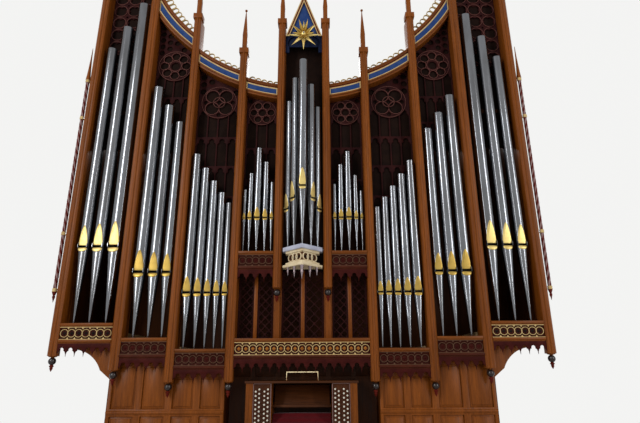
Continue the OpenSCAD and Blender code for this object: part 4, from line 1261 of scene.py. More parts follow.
@dataclass
class Panelling(Trade):
    """Framed panels on the back and on the sides of the case."""

    thick: float = 0.03
    stile: float = 0.11
    joint: float = 0.001
    lower_half: float = 3.1175
    upper_half: float = 4.1225
    back: float = 1.3
    floor: float = 0.15
    waist: float = 2.025
    back_top: float = 6.4
    side_top: float = 9.35
    lower_front: float = -0.29
    upper_front: float = -0.19

    def panel(self, low: Vector, high: Vector, out: Vector) -> Piece:
        """One panel: a frame, a moulded edge going in and a field that stands up again.

        Args:
            low: Its lower corner on the wall.
            high: Its upper corner there.
            out: The way it faces.

        Returns:
            The panel, open for editing.
        """
        corners = (low, high + out * self.thick)
        made = Piece.block("panel", spot(*(min(c[i] for c in corners) for i in range(3))),
                           spot(*(max(c[i] for c in corners) for i in range(3))))
        made.dress(self.dresser, DARK_Z)
        made.faces(lambda c, n: n.dot(out) > 0.9)
        made.inset(self.stile)
        made.inset(0.02, -0.022)
        made.inset(0.05)
        # the raised field takes the lighter oak: painted light on the relief
        made.paint(self.dresser, LIT_FIELD_OAK)
        made.inset(0.04, 0.014)
        return made

    def tier(self, ends: tuple[Vector, Vector], heights: Pair, count: tuple[int, int],
             out: Vector) -> Iterator[Piece]:
        """Rows of equal panels between two upright edges.

        Args:
            ends: The edges, on the floor.
            heights: The lower and the upper edge.
            count: How many panels there are across and up.
            out: The way they face.

        Yields:
            Each panel.
        """
        across, up = count
        start, along = ends[0], ends[1] - ends[0]
        rise = (heights[1] - heights[0]) / up
        joint = along.normalized() * self.joint
        for i in range(across):
            for k in range(up):
                foot = heights[0] + rise * k + self.joint
                head = heights[0] + rise * (k + 1) - self.joint
                yield self.panel(start + along * (i / across) + joint + spot(0, 0, foot),
                                 start + along * ((i + 1) / across) - joint + spot(0, 0, head), out)

    def build(self) -> None:
        """Panels the back in three rows and each side in five."""
        lower, upper = (self.floor, self.waist), (self.waist, self.back_top)
        parts: list[Piece] = []
        for half, heights, count in ((self.lower_half, lower, (6, 1)),
                                     (self.upper_half, upper, (8, 2))):
            ends = spot(-half, self.back, 0), spot(half, self.back, 0)
            parts += self.tier(ends, heights, count, spot(0, 1, 0))
        upper = (self.waist, self.side_top)
        for side in (-1, 1):
            for half, front, heights, count in ((self.lower_half, self.lower_front, lower, (2, 1)),
                                                (self.upper_half, self.upper_front, upper, (2, 4))):
                ends = spot(side * half, front, 0), spot(side * half, self.back - 0.01, 0)
                parts += self.tier(ends, heights, count, spot(side, 0, 0))
        whole = Piece.gather("case_panels", parts)
        whole.soften(0.0025).finish(self.dresser, DARK_Z, "dark_oak")


@dataclass(frozen=True)
class Strip:
    """One run of rings: its ends, half height, ring spacing, place and colours."""

    ends: Pair
    half: float
    pitch: float
    place: Matrix
    ring: Finish
    gem: Finish
    swell: float = 1.0


@dataclass
class Friezes(Trade):
    """Rings that cross each other round diamonds, on the shelves and the corbel."""

    wall: float = 0.02
    tube: float = 0.0062
    rail: float = 0.011
    thick: float = 0.018
    y: float = FACE_Y + FIELD_DEPTH
    half: float = 0.1025
    pitch: float = 0.115
    below: float = 0.1625
    corbel_place: Triple = (0, FACE_Y - 0.228, 3.41)
    corbel_run: Pair = (0.008, 0.331)
    corbel_half: float = 0.078
    corbel_pitch: float = 0.095
    corbel_swell: float = 1.22

    def strips(self) -> Iterator[Strip]:
        """Every run of the organ.

        Yields:
            Each run.
        """
        # The tower and middle runs take the pale gilding; the others its darker copy, which is
        # painted shade
        bays = (
            (TOWER_BAY, TOWER_SHELF, PALE_GOLD, INK), (OUTER_BAY, OUTER_SHELF, SHADED_GILDING, MAROON),
            (INNER_BAY, INNER_SHELF, SHADED_GILDING, MAROON),
            (ALCOVE_BAY, ALCOVE_SHELF, SHADED_GILDING, MAROON))
        for ends, shelf, ring, gem in bays:
            for side in (-1, 1):
                run = ends if side > 0 else (-ends[1], -ends[0])
                place = shift(0, self.y, shelf - self.below)
                yield Strip(run, self.half, self.pitch, place, ring, gem)
        place = shift(0, self.y, MIDDLE_SHELF - self.below)
        yield Strip((-ALCOVE_BAY[1], ALCOVE_BAY[1]), self.half, self.pitch, place, PALE_GOLD, AMBER)
        place = shift(*self.corbel_place) @ turn(45, "Z")
        for mirror in (Matrix.Identity(4), Matrix.Scale(-1, 4, (1, 0, 0))):
            yield Strip(self.corbel_run, self.corbel_half, self.corbel_pitch, mirror @ place,
                        CREAM, INK, self.corbel_swell)

    def ring(self, strip: Strip, step: float) -> Piece:
        """One ring, rounded in front.

        Args:
            strip: The run it belongs to.
            step: The distance from ring to ring.

        Returns:
            The ring, open for editing.
        """
        made = Piece("ring", bpy.ops.mesh.primitive_torus_add, major_segments=32, minor_segments=8,
                     major_radius=strip.swell * (step + self.wall) / 2 - self.tube - 0.001,
                     minor_radius=self.tube * strip.swell ** 2,
                     rotation=(math.radians(90), 0, 0))
        made.all().scale((1, self.thick / 2 / self.tube, 1), spot(0, 0, 0))
        made.move(spot(0, -self.thick / 2, 0))
        return made.dress(self.dresser, strip.ring)

    def gem(self, strip: Strip, step: float) -> Piece:
        """One diamond, cut to a low point.

        Args:
            strip: The run it belongs to.
            step: The distance from ring to ring.

        Returns:
            The diamond, open for editing.
        """
        made = Piece("diamond", bpy.ops.mesh.primitive_cone_add, vertices=4,
                     radius1=step * 0.29 * strip.swell, radius2=step * 0.07, depth=0.014,
                     rotation=(math.radians(90), 0, 0), location=(0, -0.007, 0))
        made.faces(lambda c, n: n.y < -0.9).inset(step * 0.02, 0.002)
        return made.dress(self.dresser, strip.gem)

    def point(self, strip: Strip, step: float, up: int) -> Piece:
        """One small point between two rings, standing on a rail.

        Args:
            strip: The run it belongs to.
            step: The distance from ring to ring.
            up: 1 on the upper rail, -1 on the lower.

        Returns:
            The point, open for editing.
        """
        edge, wide, high = up * (strip.half - self.rail / 2), step * 0.2, strip.half * 0.34
        corners = [spot(-wide, 0, edge), spot(wide, 0, edge), spot(0, 0, edge - up * high)]
        made = Piece.outline("point", corners, spot(0, -0.008, 0))
        made.faces(lambda c, n: n.y < -0.9).inset(0.004, 0.003)
        return made.dress(self.dresser, strip.ring)

    def run(self, strip: Strip) -> list[Piece]:
        """Models a run in its own place and brings it where it belongs.

        Args:
            strip: The run.

        Returns:
            Its parts, closed.
        """
        low, high = strip.ends
        count = max(1, round((high - low - 2 * self.wall) / strip.pitch))
        step = (high - low - 2 * self.wall) / count
        made: list[Piece] = []
        for edge in (-1, 1):
            zs = sorted((edge * strip.half, edge * (strip.half - self.rail)))
            rail = Piece.block("rail", spot(low, -self.thick, zs[0]), spot(high, 0, zs[1]))
            rail.edges(lambda c, n: abs(n.x) > 0.9 and c.y < -0.01).bevel(0.003, 3)
            made.append(rail.dress(self.dresser, strip.ring))
        ring, gem = self.ring(strip, step), self.gem(strip, step)
        points = [self.point(strip, step, up) for up in (-1, 1)]
        models = [ring, gem, *points]
        for i in range(count):
            x = low + self.wall + step * (i + 0.5)
            for model in (ring, gem):
                made.append(model.copy(model.object.name, shift(x, 0, 0)))
            if i:
                for model in points:
                    made.append(model.copy("point", shift(x - step / 2, 0, 0)))
        for model in models:
            model.remove()
        for part in made:
            part.close().data.transform(strip.place)
            if strip.place.determinant() < 0:
                part.object.data.flip_normals()
        return made

    def build(self) -> None:
        """Models all the runs as one piece."""
        parts = [part for strip in self.strips() for part in self.run(strip)]
        whole = Piece.gather("gilded_rings", parts)
        whole.finish(self.dresser, PALE_GOLD, "gilding", "ring_friezes")


@dataclass
class Corbel(Trade):
    """The pointed corbel under the centre pipes: slabs, fillets and turned drops."""

    top: float = 3.6
    slab: float = 0.071
    frieze: Pair = (0.114, 0.266)
    drops: float = 0.355
    back: float = 0.149

    def build(self) -> None:
        """Paints the layers of the corbel from the slab down to the drops."""
        part = Easing("centre_corbel", CREAM, "oak", 0.004, 3)
        made = self.ease(part)
        high, low = (self.top - depth for depth in self.frieze)
        made.faces(lambda c, n: c.z > self.top - self.slab).paint(self.dresser, GREY_BLUE)
        made.faces(lambda c, n: abs(n.z) < 0.3 and low < c.z < high).paint(self.dresser, UMBER)
        # the corbel's back faces under the slab take the near-black painted shade
        made.faces(lambda c, n: c.y > FACE_Y + self.back and c.z < self.top - self.slab)
        made.paint(self.dresser, PAINTED_SHADE)
        made.faces(lambda c, n: c.z < self.top - self.drops).paint(self.dresser, DROP_METAL)
        self.fix(made, part)


# Cornices


@dataclass
class Cornices(Trade):
    """Mouldings, painted bands with gold lines, and the cresting on them."""

    line: float = 0.018

    def bands(self) -> None:
        """Sinks a blue field in each band and leaves a gold line round it."""
        part = Easing("painted_bands", BLUE, "blue_paint", 0.003)
        made = self.ease(part)
        made.faces(lambda c, n: n.y < -0.9).paint(self.dresser, PALE_GOLD)
        made.inset(self.line)
        made.inset(0.004, -0.006)
        made.paint(self.dresser, BLUE)
        made.finish(self.dresser, BLUE, part.slot, part.node)

    def build(self) -> None:
        """Dresses the mouldings, the bands and the cresting."""
        self.bands()
        for part in (
            Easing("cornices", OAK_X, "oak", 0.005, 3, ((RED_FIELD, front_at(0.074)),)),
            Easing("cresting", PALE_GOLD, "oak", 0.004, 2),
            Easing("pinnacles", OAK_Z, "oak", 0.004, 2),
        ):
            self.fix(self.ease(part), part)


@dataclass(frozen=True)
class Wheel:
    """A traced wheel: its screen, the ends of its bay, the sweep over it and its rings.

    Each set of rings has its distance from the middle and its radius, as shares of the
    wheel, then how many rings there are and the angle of the first.
    """

    screen: str
    bay: Pair
    sweep: float
    radius: float
    rings: tuple[tuple[float, float, int, float], ...]


@dataclass
class Tracery(Trade):
    """The pierced screens with rose mouldings on their wheels, and the grilles."""

    chamfer: float = 0.005
    bar: float = 0.03
    curve: float = 3.5
    line: float = 0.0075
    wheels: tuple[Wheel, ...] = (
        Wheel("outer_screens", OUTER_BAY, 6.974, 0.345, ((0.66, 0.27, 8, 0), (0, 0.36, 1, 0))),
        Wheel("inner_screens", INNER_BAY, 6.705, 0.35, ((0.56, 0.4, 4, 45), (0, 0.34, 1, 0))),
        Wheel("alcove_screens", ALCOVE_BAY, 6.594, 0.2725, ((0.64, 0.29, 6, 0), (0, 0.34, 1, 0))),
    )
    muntin_x: float = 0.805
    muntin_half: float = 0.0305
    tower_columns: int = 3

    def ring(self, radius: float, centre: Vector) -> Piece:
        """A thin rounded ring standing on a screen.

        Args:
            radius: The radius of its middle line.
            centre: Its middle.

        Returns:
            The ring, open for editing.
        """
        made = Piece("ring", bpy.ops.mesh.primitive_torus_add, major_segments=28, minor_segments=6,
                     major_radius=radius, minor_radius=self.line, rotation=(math.radians(90), 0, 0),
                     location=tuple(centre))
        made.all().scale((1, 1.3, 1), centre)
        return made.dress(self.dresser, ROSE_LINE)

    def wheel(self, wheel: Wheel) -> list[Piece]:
        """The rings of a wheel, on both sides of the organ.

        Args:
            wheel: The wheel.

        Returns:
            Its rings.
        """
        left, right = wheel.bay
        x = (left + right) / 2
        z = wheel.sweep + self.curve - math.sqrt(self.curve ** 2 - left ** 2) - wheel.radius
        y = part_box(wheel.screen)[0][1] - self.line * 0.6
        inner = wheel.radius - self.bar / 2
        made = []
        for side in (-1, 1):
            made.append(self.ring(wheel.radius - self.bar * 0.3, spot(side * x, y, z)))
            for away, size, count, first in wheel.rings:
                for i in range(count):
                    a, reach = math.radians(first + 360 * i / count), away * inner
                    centre = spot(side * x + reach * math.cos(a), y, z + reach * math.sin(a))
                    made.append(self.ring(size * inner, centre))
        return made

    def towers(self) -> list[Piece]:
        """The rings between the tower pipes, one round each opening.

        Returns:
            The rings.
        """
        low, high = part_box("tower_screens")
        left, right = TOWER_BAY
        pitch = (right - left - self.bar) / self.tower_columns
        rows = round((high[2] - low[2] - self.bar) / pitch)
        step = (high[2] - low[2] - self.bar) / rows
        y = low[1] - self.line * 0.6
        first = self.ring(min(pitch, step) * 0.47, spot(0, y, 0))
        made = []
        for side in (-1, 1):
            for i in range(self.tower_columns):
                x = side * (left + self.bar / 2 + pitch * (i + 0.5))
                for k in range(rows):
                    z = low[2] + self.bar / 2 + step * (k + 0.5)
                    made.append(first.copy("ring", shift(x, 0, z)))
        first.remove()
        return made

    def build(self) -> None:
        """Works over the screens, and the grilles with their oak muntins."""
        # screens and grilles take the near-black painted shade; the rings and muntins stay lighter
        for node in ("tower_screens", *(wheel.screen for wheel in self.wheels)):
            part = Easing(node, TRACERY_SHADE, "maroon_paint", self.chamfer, 1)
            self.fix(self.ease(part), part)
        parts = [ring for wheel in self.wheels for ring in self.wheel(wheel)] + self.towers()
        whole = Piece.gather("tracery_rings", parts)
        whole.finish(self.dresser, ROSE_LINE, "maroon_paint", smooth=60)
        part = Easing("centre_grilles", TRACERY_SHADE, "maroon_paint", self.chamfer, 1)
        made = self.ease(part)
        made.faces(lambda c, n: min(abs(c.x), abs(abs(c.x) - self.muntin_x)) < self.muntin_half)
        made.paint(self.dresser, OAK_Z)
        self.fix(made, part)


# Turnery


@dataclass
class Drops(Trade):
    """The turned drops that the posts end in: a flared cap, a black ball and a ringed tip."""

    radius: float = 0.06
    y: float = FACE_Y + 0.075
    places: tuple[Pair, ...] = (
        (4.0525, 1.75), (3.0375, 1.53), (2.1375, 1.345), (1.1775, 1.345), (0.4325, 2.84))

    def profile(self) -> list[Pair]:
        """Radius and height of the drop's rings round the middle of its ball.

        Returns:
            The rings, from the tip up.
        """
        tip = [(0.003, -0.16), (0.010, -0.148), (0.018, -0.130), (0.021, -0.122), (0.026, -0.119),
               (0.027, -0.114), (0.026, -0.109), (0.020, -0.106), (0.024, -0.096), (0.033, -0.083),
               (0.036, -0.076), (0.035, -0.070), (0.028, -0.066), (0.0225, -0.0575)]
        ball = [(self.radius * math.cos(a), self.radius * math.sin(a))
                for a in (math.radians(d) for d in range(-66, 67, 11))]
        cap = [(0.026, 0.0575), (0.034, 0.060), (0.047, 0.063), (0.060, 0.068), (0.067, 0.073),
               (0.069, 0.080)]
        return tip + ball + cap

    def build(self) -> None:
        """Turns one drop and hangs a copy of it under each post."""
        first = Piece.turned("drop", spot(0, 0, 0), self.profile(), 40)
        first.dress(self.dresser, OAK_Z)
        first.faces(lambda c, n: abs(c.z) < 0.0555).paint(self.dresser, BALL)
        first.faces(lambda c, n: c.z < -0.056).paint(self.dresser, RED_FIELD)
        copies = [first.copy("post_drop_balls", shift(side * x, self.y, z))
                  for side in (-1, 1) for x, z in self.places]
        first.remove()
        whole = Piece.gather("post_drop_balls", copies)
        whole.finish(self.dresser, OAK_Z, "oak", "post_drops", "drop_balls", smooth=50)


@dataclass
class Shafts(Trade):
    """The slender twisted shafts outside the towers, with bands, a drop and a pointed cap."""

    x: float = 4.1935
    y: float = FACE_Y + 0.075
    radius: float = 0.031
    strands: int = 4
    turns: float = 0.34
    bands: Pair = (3.86, 6.12)
    drop: float = 0.18
    cap: float = 0.72

    def twist(self, low: float, high: float) -> Piece:
        """The twisted length between two heights.

        Args:
            low: The lower height.
            high: The upper height.

        Returns:
            The shaft, open for editing.
        """
        sides = self.strands * 4
        made = Piece("shaft", bpy.ops.mesh.primitive_circle_add, radius=self.radius, vertices=sides,
                     fill_type="NOTHING", location=(0, 0, low))
        step = 2 * math.pi / self.strands
        for i in range(self.strands):
            groove = math.radians(90) + step * i
            x, y = self.radius * math.cos(groove), self.radius * math.sin(groove)
            made.points(lambda c, n: abs(c.x - x) < 0.002 and abs(c.y - y) < 0.002)
            made.scale((0.8, 0.8, 1), spot(0, 0, low))
        count = int((high - low) / 0.035)
        made.modify("SCREW", axis="Z", angle=2 * math.pi * (high - low) / self.turns,
                    screw_offset=high - low, steps=count, render_steps=count)
        bpy.ops.object.mode_set(mode="EDIT")
        made.outward()
        bpy.ops.mesh.fill_holes(sides=0)
        made.outward()
        made.dress(self.dresser, RED_FIELD)

        def pale(c: Vector, n: Vector) -> bool:
            """Picks every second strand."""
            turned = math.atan2(c.y, c.x) - 2 * math.pi * (c.z - low) / self.turns
            return (turned - math.radians(90)) / step % 2 < 1

        return made.faces(pale).paint(self.dresser, PINK_LINE)

    def band(self, z: float) -> Piece:
        """A moulded ring.

        Args:
            z: The height of its lower edge.

        Returns:
            The band, open for editing.
        """
        shares = ((0.9, 0), (1.12, 0), (1.3, 0.008), (1.35, 0.018), (1.16, 0.026), (1.16, 0.034),
                  (1.35, 0.042), (1.3, 0.052), (1.12, 0.06), (0.9, 0.06))
        made = Piece.turned("band", spot(0, 0, z), rings(self.radius, shares), 24)
        return made.dress(self.dresser, PALE_GOLD)

    def build(self) -> None:
        """Models one shaft and sets its copy on the other side."""
        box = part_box("side_shafts")
        low, high = box[0][2] + self.drop, box[1][2] - self.cap
        tip = Piece.turned("tip", spot(0, 0, high), [
            *rings(self.radius, ((0.9, -0.01), (1.4, 0), (1.36, 0.03), (1.1, 0.10), (0.8, 0.24),
                                 (0.45, 0.46))), (0.006, 0.69), (0.004, self.cap)], 16)
        drop = Piece.turned("drop_tip", spot(0, 0, low), [
            (0.002, -0.178), *rings(self.radius, (
                (0.3, -0.14), (0.66, -0.10), (0.74, -0.09), (0.74, -0.07), (0.5, -0.066),
                (0.9, -0.03), (1.2, -0.004), (1.2, 0.004), (0.9, 0.006)))], 24)
        parts = [self.twist(low, high), tip.dress(self.dresser, OAK_Z),
                 drop.dress(self.dresser, RED_FIELD)]
        for z in (low, *self.bands, high - 0.06):
            parts.append(self.band(z))
        for z in self.bands:
            tie = Piece.block("tie", spot(-0.071, -0.012, z + 0.015), spot(0, 0.012, z + 0.045))
            tie.edges(lambda c, n: abs(n.x) > 0.9).bevel(0.003, 2)
            parts.append(tie.dress(self.dresser, STEEL))
        model = parts[0].join(parts[1:])
        sides = [model.copy(f"twisted_shaft_{hand}", shift(side * self.x, self.y, 0)
                            @ Matrix.Scale(side, 4, (1, 0, 0)))
                 for side, hand in ((1, "right"), (-1, "left"))]
        model.remove()
        for made in sides:
            made.finish(self.dresser, RED_FIELD, "oak", "side_shafts", smooth=50)


@dataclass
class Star(Trade):
    """The turning star: a bored hub and long four-sided rays."""

    centre: Triple = (0, FACE_Y - 0.06, 7.9)
    hub: float = 0.074
    bore: float = 0.01505
    reach: float = 0.335
    width: float = 0.038
    points: int = 8
    lean: float = 40
    root: float = 0.62
    swell_at: float = 0.22
    bows: int = 14

    def ray(self, reach: float, name: str) -> Piece:
        """One ray up the z axis, widest a little way out of the hub.

        Args:
            reach: From the middle of the star to the ray's tip.
            name: The name of the ray.

        Returns:
            The ray, open for editing.
        """
        start = self.hub * 0.6
        made = Piece(name, bpy.ops.mesh.primitive_cone_add, vertices=4,
                     radius1=self.width * self.root, radius2=0.0012, depth=reach - start,
                     location=(0, 0, (reach + start) / 2))
        widest = start + (reach - start) * self.swell_at
        made.cut(spot(0, 0, widest), spot(0, 0, 1))
        made.points(lambda c, n: abs(c.z - widest) < 0.0005)
        grown = 1 / (self.root * (1 - self.swell_at))
        made.scale((grown, grown * 0.8, 1), spot(0, 0, widest))
        return made

    def build(self) -> None:
        """Sets the rays round the hub, level and leaning to the front, and dresses the axle."""
        self.dresser.node("star_axle", STEEL)
        pole = math.asin(self.bore / self.hub)
        arc = [pole + (math.pi - 2 * pole) * i / self.bows for i in range(self.bows + 1)]
        ring = [(self.hub * math.sin(a), -self.hub * math.cos(a)) for a in arc]
        whole = Piece.turned("star_hub", spot(0, 0, 0), [*ring, ring[0]], 32, bored=True)
        whole.all().turn(90, "X", spot(0, 0, 0))
        level = self.ray(self.reach, "ray").dress(self.dresser, GILT)
        # the leaning rays take the darker gold leaf: painted shade
        leaning = self.ray(self.reach * 0.9, "leaning_ray").dress(self.dresser, SHADED_GILT)
        rays = []
        step = 360 / self.points
        for i in range(self.points):
            rays.append(level.copy("ray", turn(step * i, "Y")))
            rays.append(leaning.copy("ray", turn(step * (i + 0.5), "Y") @ turn(self.lean, "X")))
        for model in (level, leaning):
            model.remove()
        whole.dress(self.dresser, GILT).join(rays)
        whole.object.name = "gilded_star"
        whole.object.data.transform(shift(*self.centre))
        whole.soften(0.002, 2)
        whole.finish(self.dresser, GILT, "gilding", "star", body=STAR, smooth=25)


@dataclass
class Gable(Trade):
    """Rakes, a blue tympanum and a finial behind the star."""

    panel: float = 0.075
    rake: float = 0.04
    finial_z: float = 9.0
    arch_z: float = 8.24
    board_y: float = FACE_Y + 0.112
    board: tuple[Pair, ...] = ((0.36, 7.74), (0.36, 7.96), (0.24, 8.28))

    def front(self, made: Piece, depth: float) -> Piece:
        """Selects the front faces at a depth behind the posts."""
        return made.faces(lambda c, n: n.y < -0.9 and abs(c.y - FACE_Y - depth) < 0.003)

    def build(self) -> None:
        """Paints the rakes gold and the panel blue."""
        part = Easing("centre_gable", RED_FIELD, "oak", 0.004, 2)
        made = self.ease(part)
        self.front(made, self.panel).paint(self.dresser, BLUE)
        self.front(made, self.rake).paint(self.dresser, PALE_GOLD)
        made.inset(0.016)
        made.inset(0.004, -0.005)
        made.paint(self.dresser, RED_FIELD)
        made.faces(lambda c, n: c.z > self.finial_z).paint(self.dresser, GILT)
        # the faces inside the arch, behind the front, take the near-black blue painted shade
        made.faces(lambda c, n: c.z < self.arch_z and c.y > FACE_Y + 0.05)
        made.paint(self.dresser, DARK_BLUE_SHADE)
        self.fix(made, part)
        self.backing()

    def backing(self) -> None:
        """Closes the arch with a board on the back of the panel, in near-black blue: dark blue
        paint and painted shade behind the arch.
        """
        foot, shoulder, top = self.board
        round_it = ((-1, foot), (1, foot), (1, shoulder), (1, top), (-1, top), (-1, shoulder))
        outline = [spot(side * x, self.board_y, z) for side, (x, z) in round_it]
        made = Piece.outline("gable_backing", outline, spot(0, 0.01, 0))
        made.soften(0.002, 2)
        made.finish(self.dresser, DARK_BLUE_SHADE, "blue_paint")


# Console


@dataclass
class Console(Trade):
    """The keydesk: case with its lamp, jambs with their knobs, keys under a cloth, and pedals."""

    half: float = 0.875
    gap: float = 0.475
    cheek: float = 0.11
    top: float = 1.43
    front: float = FACE_Y - 0.06
    rows: int = 8
    pitch: float = 0.064
    knob: float = 0.0145
    columns: tuple[float, ...] = (0.05, 0.105, 0.185, 0.24)
    line: float = 0.008
    jamb_low: float = 0.70
    block_w: float = 0.058
    sharp_z: float = 0.0905
    cloth_path: tuple[Pair, ...] = (
        (0.0, 0.7335), (-0.0035, 0.76), (-0.0045, 0.788), (-0.002, 0.8035), (0.012, 0.8085),
        (0.06, 0.827), (0.105, 0.8655), (0.16, 0.894), (0.205, 0.9325), (0.222, 0.9375),
        (0.29, 0.9372), (0.36, 0.9368))
    ripples: tuple[Triple, ...] = ((0.5, 41, 1.3), (0.3, 73, 0.4), (0.4, 17, 0))
    cloth_length: float = 0.485
    cloth_thick: float = 0.003
    edge_z: float = 0.8035
    hanging: float = 0.07
    fold: float = 0.0018
    dip: float = 0.0012

    def case(self) -> None:
        """Dresses the case: dark fields, oak cheeks and a brass lamp."""
        part = Easing("console_case", OAK_Z, "oak", 0.004, 3)
        made = self.ease(part)
        made.faces(lambda c, n: abs(c.x) < self.half - self.cheek - 0.002 and n.y < -0.9
                   and 0.6 < c.z < self.top - 0.035).paint(self.dresser, DARK_Z)
        made.faces(lambda c, n: self.top - 0.032 < c.z < self.top + 0.002)
        made.paint(self.dresser, DARK_X)
        made.faces(lambda c, n: c.z > 1.5).paint(self.dresser, BRASS)
        self.fix(made, part)

    def inlay(self) -> None:
        """Lays a pale line round each jamb."""
        strips = []
        y, wide = self.front + 0.012, self.line
        low, high = self.jamb_low, self.top - 0.034
        left, right = self.gap + 0.004, self.half - self.cheek - 0.004
        for side in (-1, 1):
            for x0, x1, z0, z1 in (
                    (left, right, high - wide, high), (left, left + wide, low, high),
                    (right - wide, right, low, high), (left, right, low, low + wide)):
                xs = sorted((side * x0, side * x1))
                strip = Piece.block("jamb_line", spot(xs[0], y - 0.003, z0),
                                    spot(xs[1], y + 0.002, z1))
                strips.append(strip.edges(lambda c, n: c.y < y - 0.002).bevel(0.0015, 2))
        whole = Piece.gather("jamb_lines", strips)
        whole.finish(self.dresser, PINK_LINE, "oak")

    def knobs(self) -> None:
        """Turns one stop knob and sets its copies in two staggered pairs of columns."""
        first = Piece.turned("knob", spot(0, 0, 0), rings(self.knob, (
            (0.34, 0), (0.40, 0.002), (0.30, 0.008), (0.28, 0.026), (0.36, 0.032), (0.72, 0.035),
            (0.94, 0.039), (1, 0.0425), (1, 0.0465), (0.93, 0.0485), (0.86, 0.0492),
            (0.80, 0.0484), (0.40, 0.0490), (0.12, 0.0492))), 24)
        first.dress(self.dresser, IVORY)
        first.faces(lambda c, n: c.z < 0.031).paint(self.dresser, DARK_Z)
        knobs = []
        for side in (-1, 1):
            for column, out in enumerate(self.columns):
                for row in range(self.rows):
                    z = self.top - 0.12 - self.pitch * (row + (column % 2) / 2)
                    place = shift(side * (self.gap + out), self.front + 0.02, z)
                    knobs.append(first.copy("turned_knobs", place @ turn(90, "X")))
        first.remove()
        whole = Piece.gather("turned_knobs", knobs)
        whole.finish(self.dresser, IVORY, "ivory", "stop_knobs")

    def keys(self) -> None:
        """Dresses the keyboards and their oak blocks."""
        part = Easing("keyboards", IVORY, "ivory", 0.002, 2)
        made = self.ease(part)
        made.faces(lambda c, n: abs(c.x) > self.gap - self.block_w).paint(self.dresser, DARK_X)
        self.fix(made, part)

    def pedals(self) -> None:
        """Dresses the pedals: deal naturals and frame, black sharps."""
        part = Easing("pedalboard", DEAL, "pale_wood", 0.004, 3)
        made = self.ease(part)
        made.faces(lambda c, n: c.z > self.sharp_z).paint(self.dresser, BALL)
        self.fix(made, part)

    def cover(self) -> None:
        """Spreads the red cloth over the keys, sagging between the steps and hanging in front."""
        wide, path = self.gap - 0.004, self.cloth_path
        made = Piece("key_cloth", bpy.ops.mesh.primitive_plane_add, size=1)
        made.points(lambda c, n: c.x > 0)
        bpy.ops.mesh.delete(type="VERT")
        made.points(lambda c, n: True)
        mesh = bmesh.from_edit_mesh(made.object.data)
        for vertex, x in zip(mesh.verts, (-wide, wide)):
            vertex.co = spot(x, FACE_Y + path[0][0], path[0][1])
        bmesh.update_edit_mesh(made.object.data)
        for (y0, z0), (y1, z1) in zip(path, path[1:]):
            made.extrude(spot(0, y1 - y0, z1 - z0))
        made.all()
        bpy.ops.mesh.subdivide(number_cuts=3)
        made.faces(lambda c, n: True)
        made.outward()
        mesh = bmesh.from_edit_mesh(made.object.data)
        for vertex in mesh.verts:
            x, y = vertex.co.x, vertex.co.y - FACE_Y
            hang = max(0.0, min(1.0, (self.edge_z - vertex.co.z) / self.hanging))
            ripple = sum(high * math.sin(x * rate + start) for high, rate, start in self.ripples)
            vertex.co.y -= hang * self.fold * (1 + ripple)
            swell = math.sin(x * 23 + y * 31) + math.sin(x * 9 - y * 57 + 2)
            vertex.co.z += self.dip * (1 - hang) * swell
        bmesh.update_edit_mesh(made.object.data)
        made.modify("SOLIDIFY", thickness=self.cloth_thick, offset=0)
        made.modify("SUBSURF", levels=1, render_levels=1)
        cloth = made.finish(self.dresser, RED_CLOTH, "red_cloth", "key_cover", smooth=60)

    def build(self) -> None:
        """Builds the whole console."""
        self.case()
        self.inlay()
        self.knobs()
        self.keys()
        self.cover()
        self.pedals()


# Studio


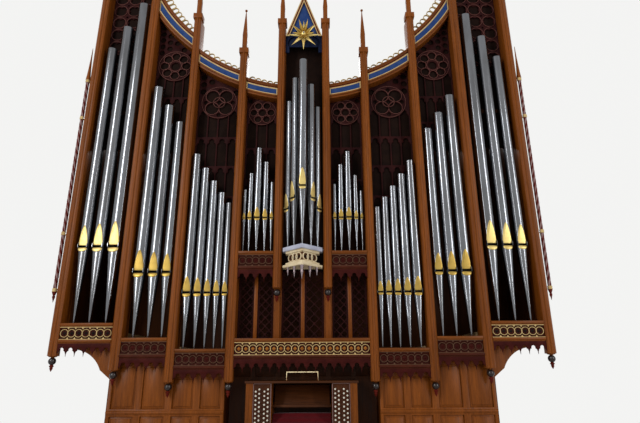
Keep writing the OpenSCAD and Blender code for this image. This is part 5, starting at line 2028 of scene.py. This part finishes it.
@dataclass
class Studio:
    """Floor, lamps, world and the camera at the photograph's angle."""

    eye: Triple = (0.29, -8.7, 1.65)
    pitch: float = 17.6
    roll: float = 0.3
    lens: float = 27.45
    pale: Colour = (0.78, 0.77, 0.75)
    floor_radius: float = 8.2
    seen: Colour = (0.90, 0.90, 0.89)
    ambient: Colour = (0.93, 0.96, 1.0)
    ambient_strength: float = 0.55

    def camera(self) -> None:
        """Puts the camera low before the organ, looking up."""
        data = bpy.data.cameras.new("camera")
        data.sensor_width = 36
        data.lens = self.lens
        data.clip_end = 200
        obj = bpy.data.objects.new("camera", data)
        obj.location = self.eye
        obj.rotation_euler = (math.radians(90 + self.pitch), math.radians(self.roll), 0)
        bpy.context.scene.collection.objects.link(obj)
        bpy.context.scene.camera = obj

    def floor(self) -> None:
        """Lays a wide pale floor."""
        bpy.ops.mesh.primitive_circle_add(vertices=96, radius=self.floor_radius, fill_type="NGON",
                                          location=(0, 0, 0))
        plane = bpy.context.object
        plane.name = "floor"
        tree = Tree("pale_floor")
        soft = tree.noise(tree.place(), 0.6, 3)
        tree.shade(base_color=tree.blend(soft, self.pale, tint(self.pale, 0.94)), roughness=0.75)
        plane.data.materials.append(tree.material)

    def world(self) -> None:
        """A pale even world: brighter to the camera and in gloss, softer as light."""
        world = bpy.data.worlds.new("studio")
        bpy.context.scene.world = world
        world.use_nodes = True
        nodes, links = world.node_tree.nodes, world.node_tree.links
        nodes.clear()
        path = nodes.new("ShaderNodeLightPath")
        light = nodes.new("ShaderNodeBackground")
        light.inputs[0].default_value = (*self.ambient, 1)
        light.inputs[1].default_value = self.ambient_strength
        rays = nodes.new("ShaderNodeMath")
        rays.operation = "MAXIMUM"
        both = nodes.new("ShaderNodeMath")
        both.operation = "MAXIMUM"
        links.new(path.outputs["Is Camera Ray"], rays.inputs[0])
        links.new(path.outputs["Is Glossy Ray"], rays.inputs[1])
        links.new(rays.outputs[0], both.inputs[0])
        links.new(path.outputs["Is Transmission Ray"], both.inputs[1])
        seen = nodes.new("ShaderNodeBackground")
        seen.inputs[0].default_value = (*self.seen, 1)
        seen.inputs[1].default_value = 1.0
        mix = nodes.new("ShaderNodeMixShader")
        output = nodes.new("ShaderNodeOutputWorld")
        links.new(both.outputs[0], mix.inputs[0])
        links.new(light.outputs[0], mix.inputs[1])
        links.new(seen.outputs[0], mix.inputs[2])
        links.new(mix.outputs[0], output.inputs[0])

    def lamp(self, name: str, place: Triple, aim: Triple, size: Pair, power: float) -> None:
        """Adds a softbox.

        Args:
            name: Its name.
            place: Where it stands.
            aim: The point it faces.
            size: Its width and height.
            power: Its power in watts.
        """
        data = bpy.data.lights.new(name, "AREA")
        data.shape = "RECTANGLE"
        data.size, data.size_y = size
        data.energy = power
        obj = bpy.data.objects.new(name, data)
        obj.location = place
        obj.rotation_euler = (Vector(aim) - Vector(place)).to_track_quat("-Z", "Y").to_euler()
        bpy.context.scene.collection.objects.link(obj)

    def build(self) -> None:
        """Sets up the whole studio."""
        self.camera()
        self.floor()
        self.world()
        self.lamp("key", (-8, -11, 8), (0, 0, 4.5), (1.8, 10.0), 1050)
        self.lamp("fill", (9.5, -9, 6), (0, 0, 4.5), (1.1, 10.0), 520)
        self.lamp("back", (0, 9, 12), (0, 0, 6), (8.0, 4.0), 550)
        bpy.context.scene.view_settings.view_transform = "Standard"


def main() -> None:
    """Builds the studio and the organ."""
    logging.basicConfig(level=logging.INFO, format="%(name)s: %(message)s")
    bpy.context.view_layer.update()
    bpy.ops.object.select_all(action="DESELECT")
    Studio().build()
    dresser = Dresser()
    for trade in (Joinery, Panelling, Friezes, Corbel, Cornices, Tracery, Drops, Shafts, Star,
                  Gable, Console, Pipework):
        trade(dresser).build()
        LOG.info("built %s", trade.__name__)


if __name__ == "__main__":
    main()
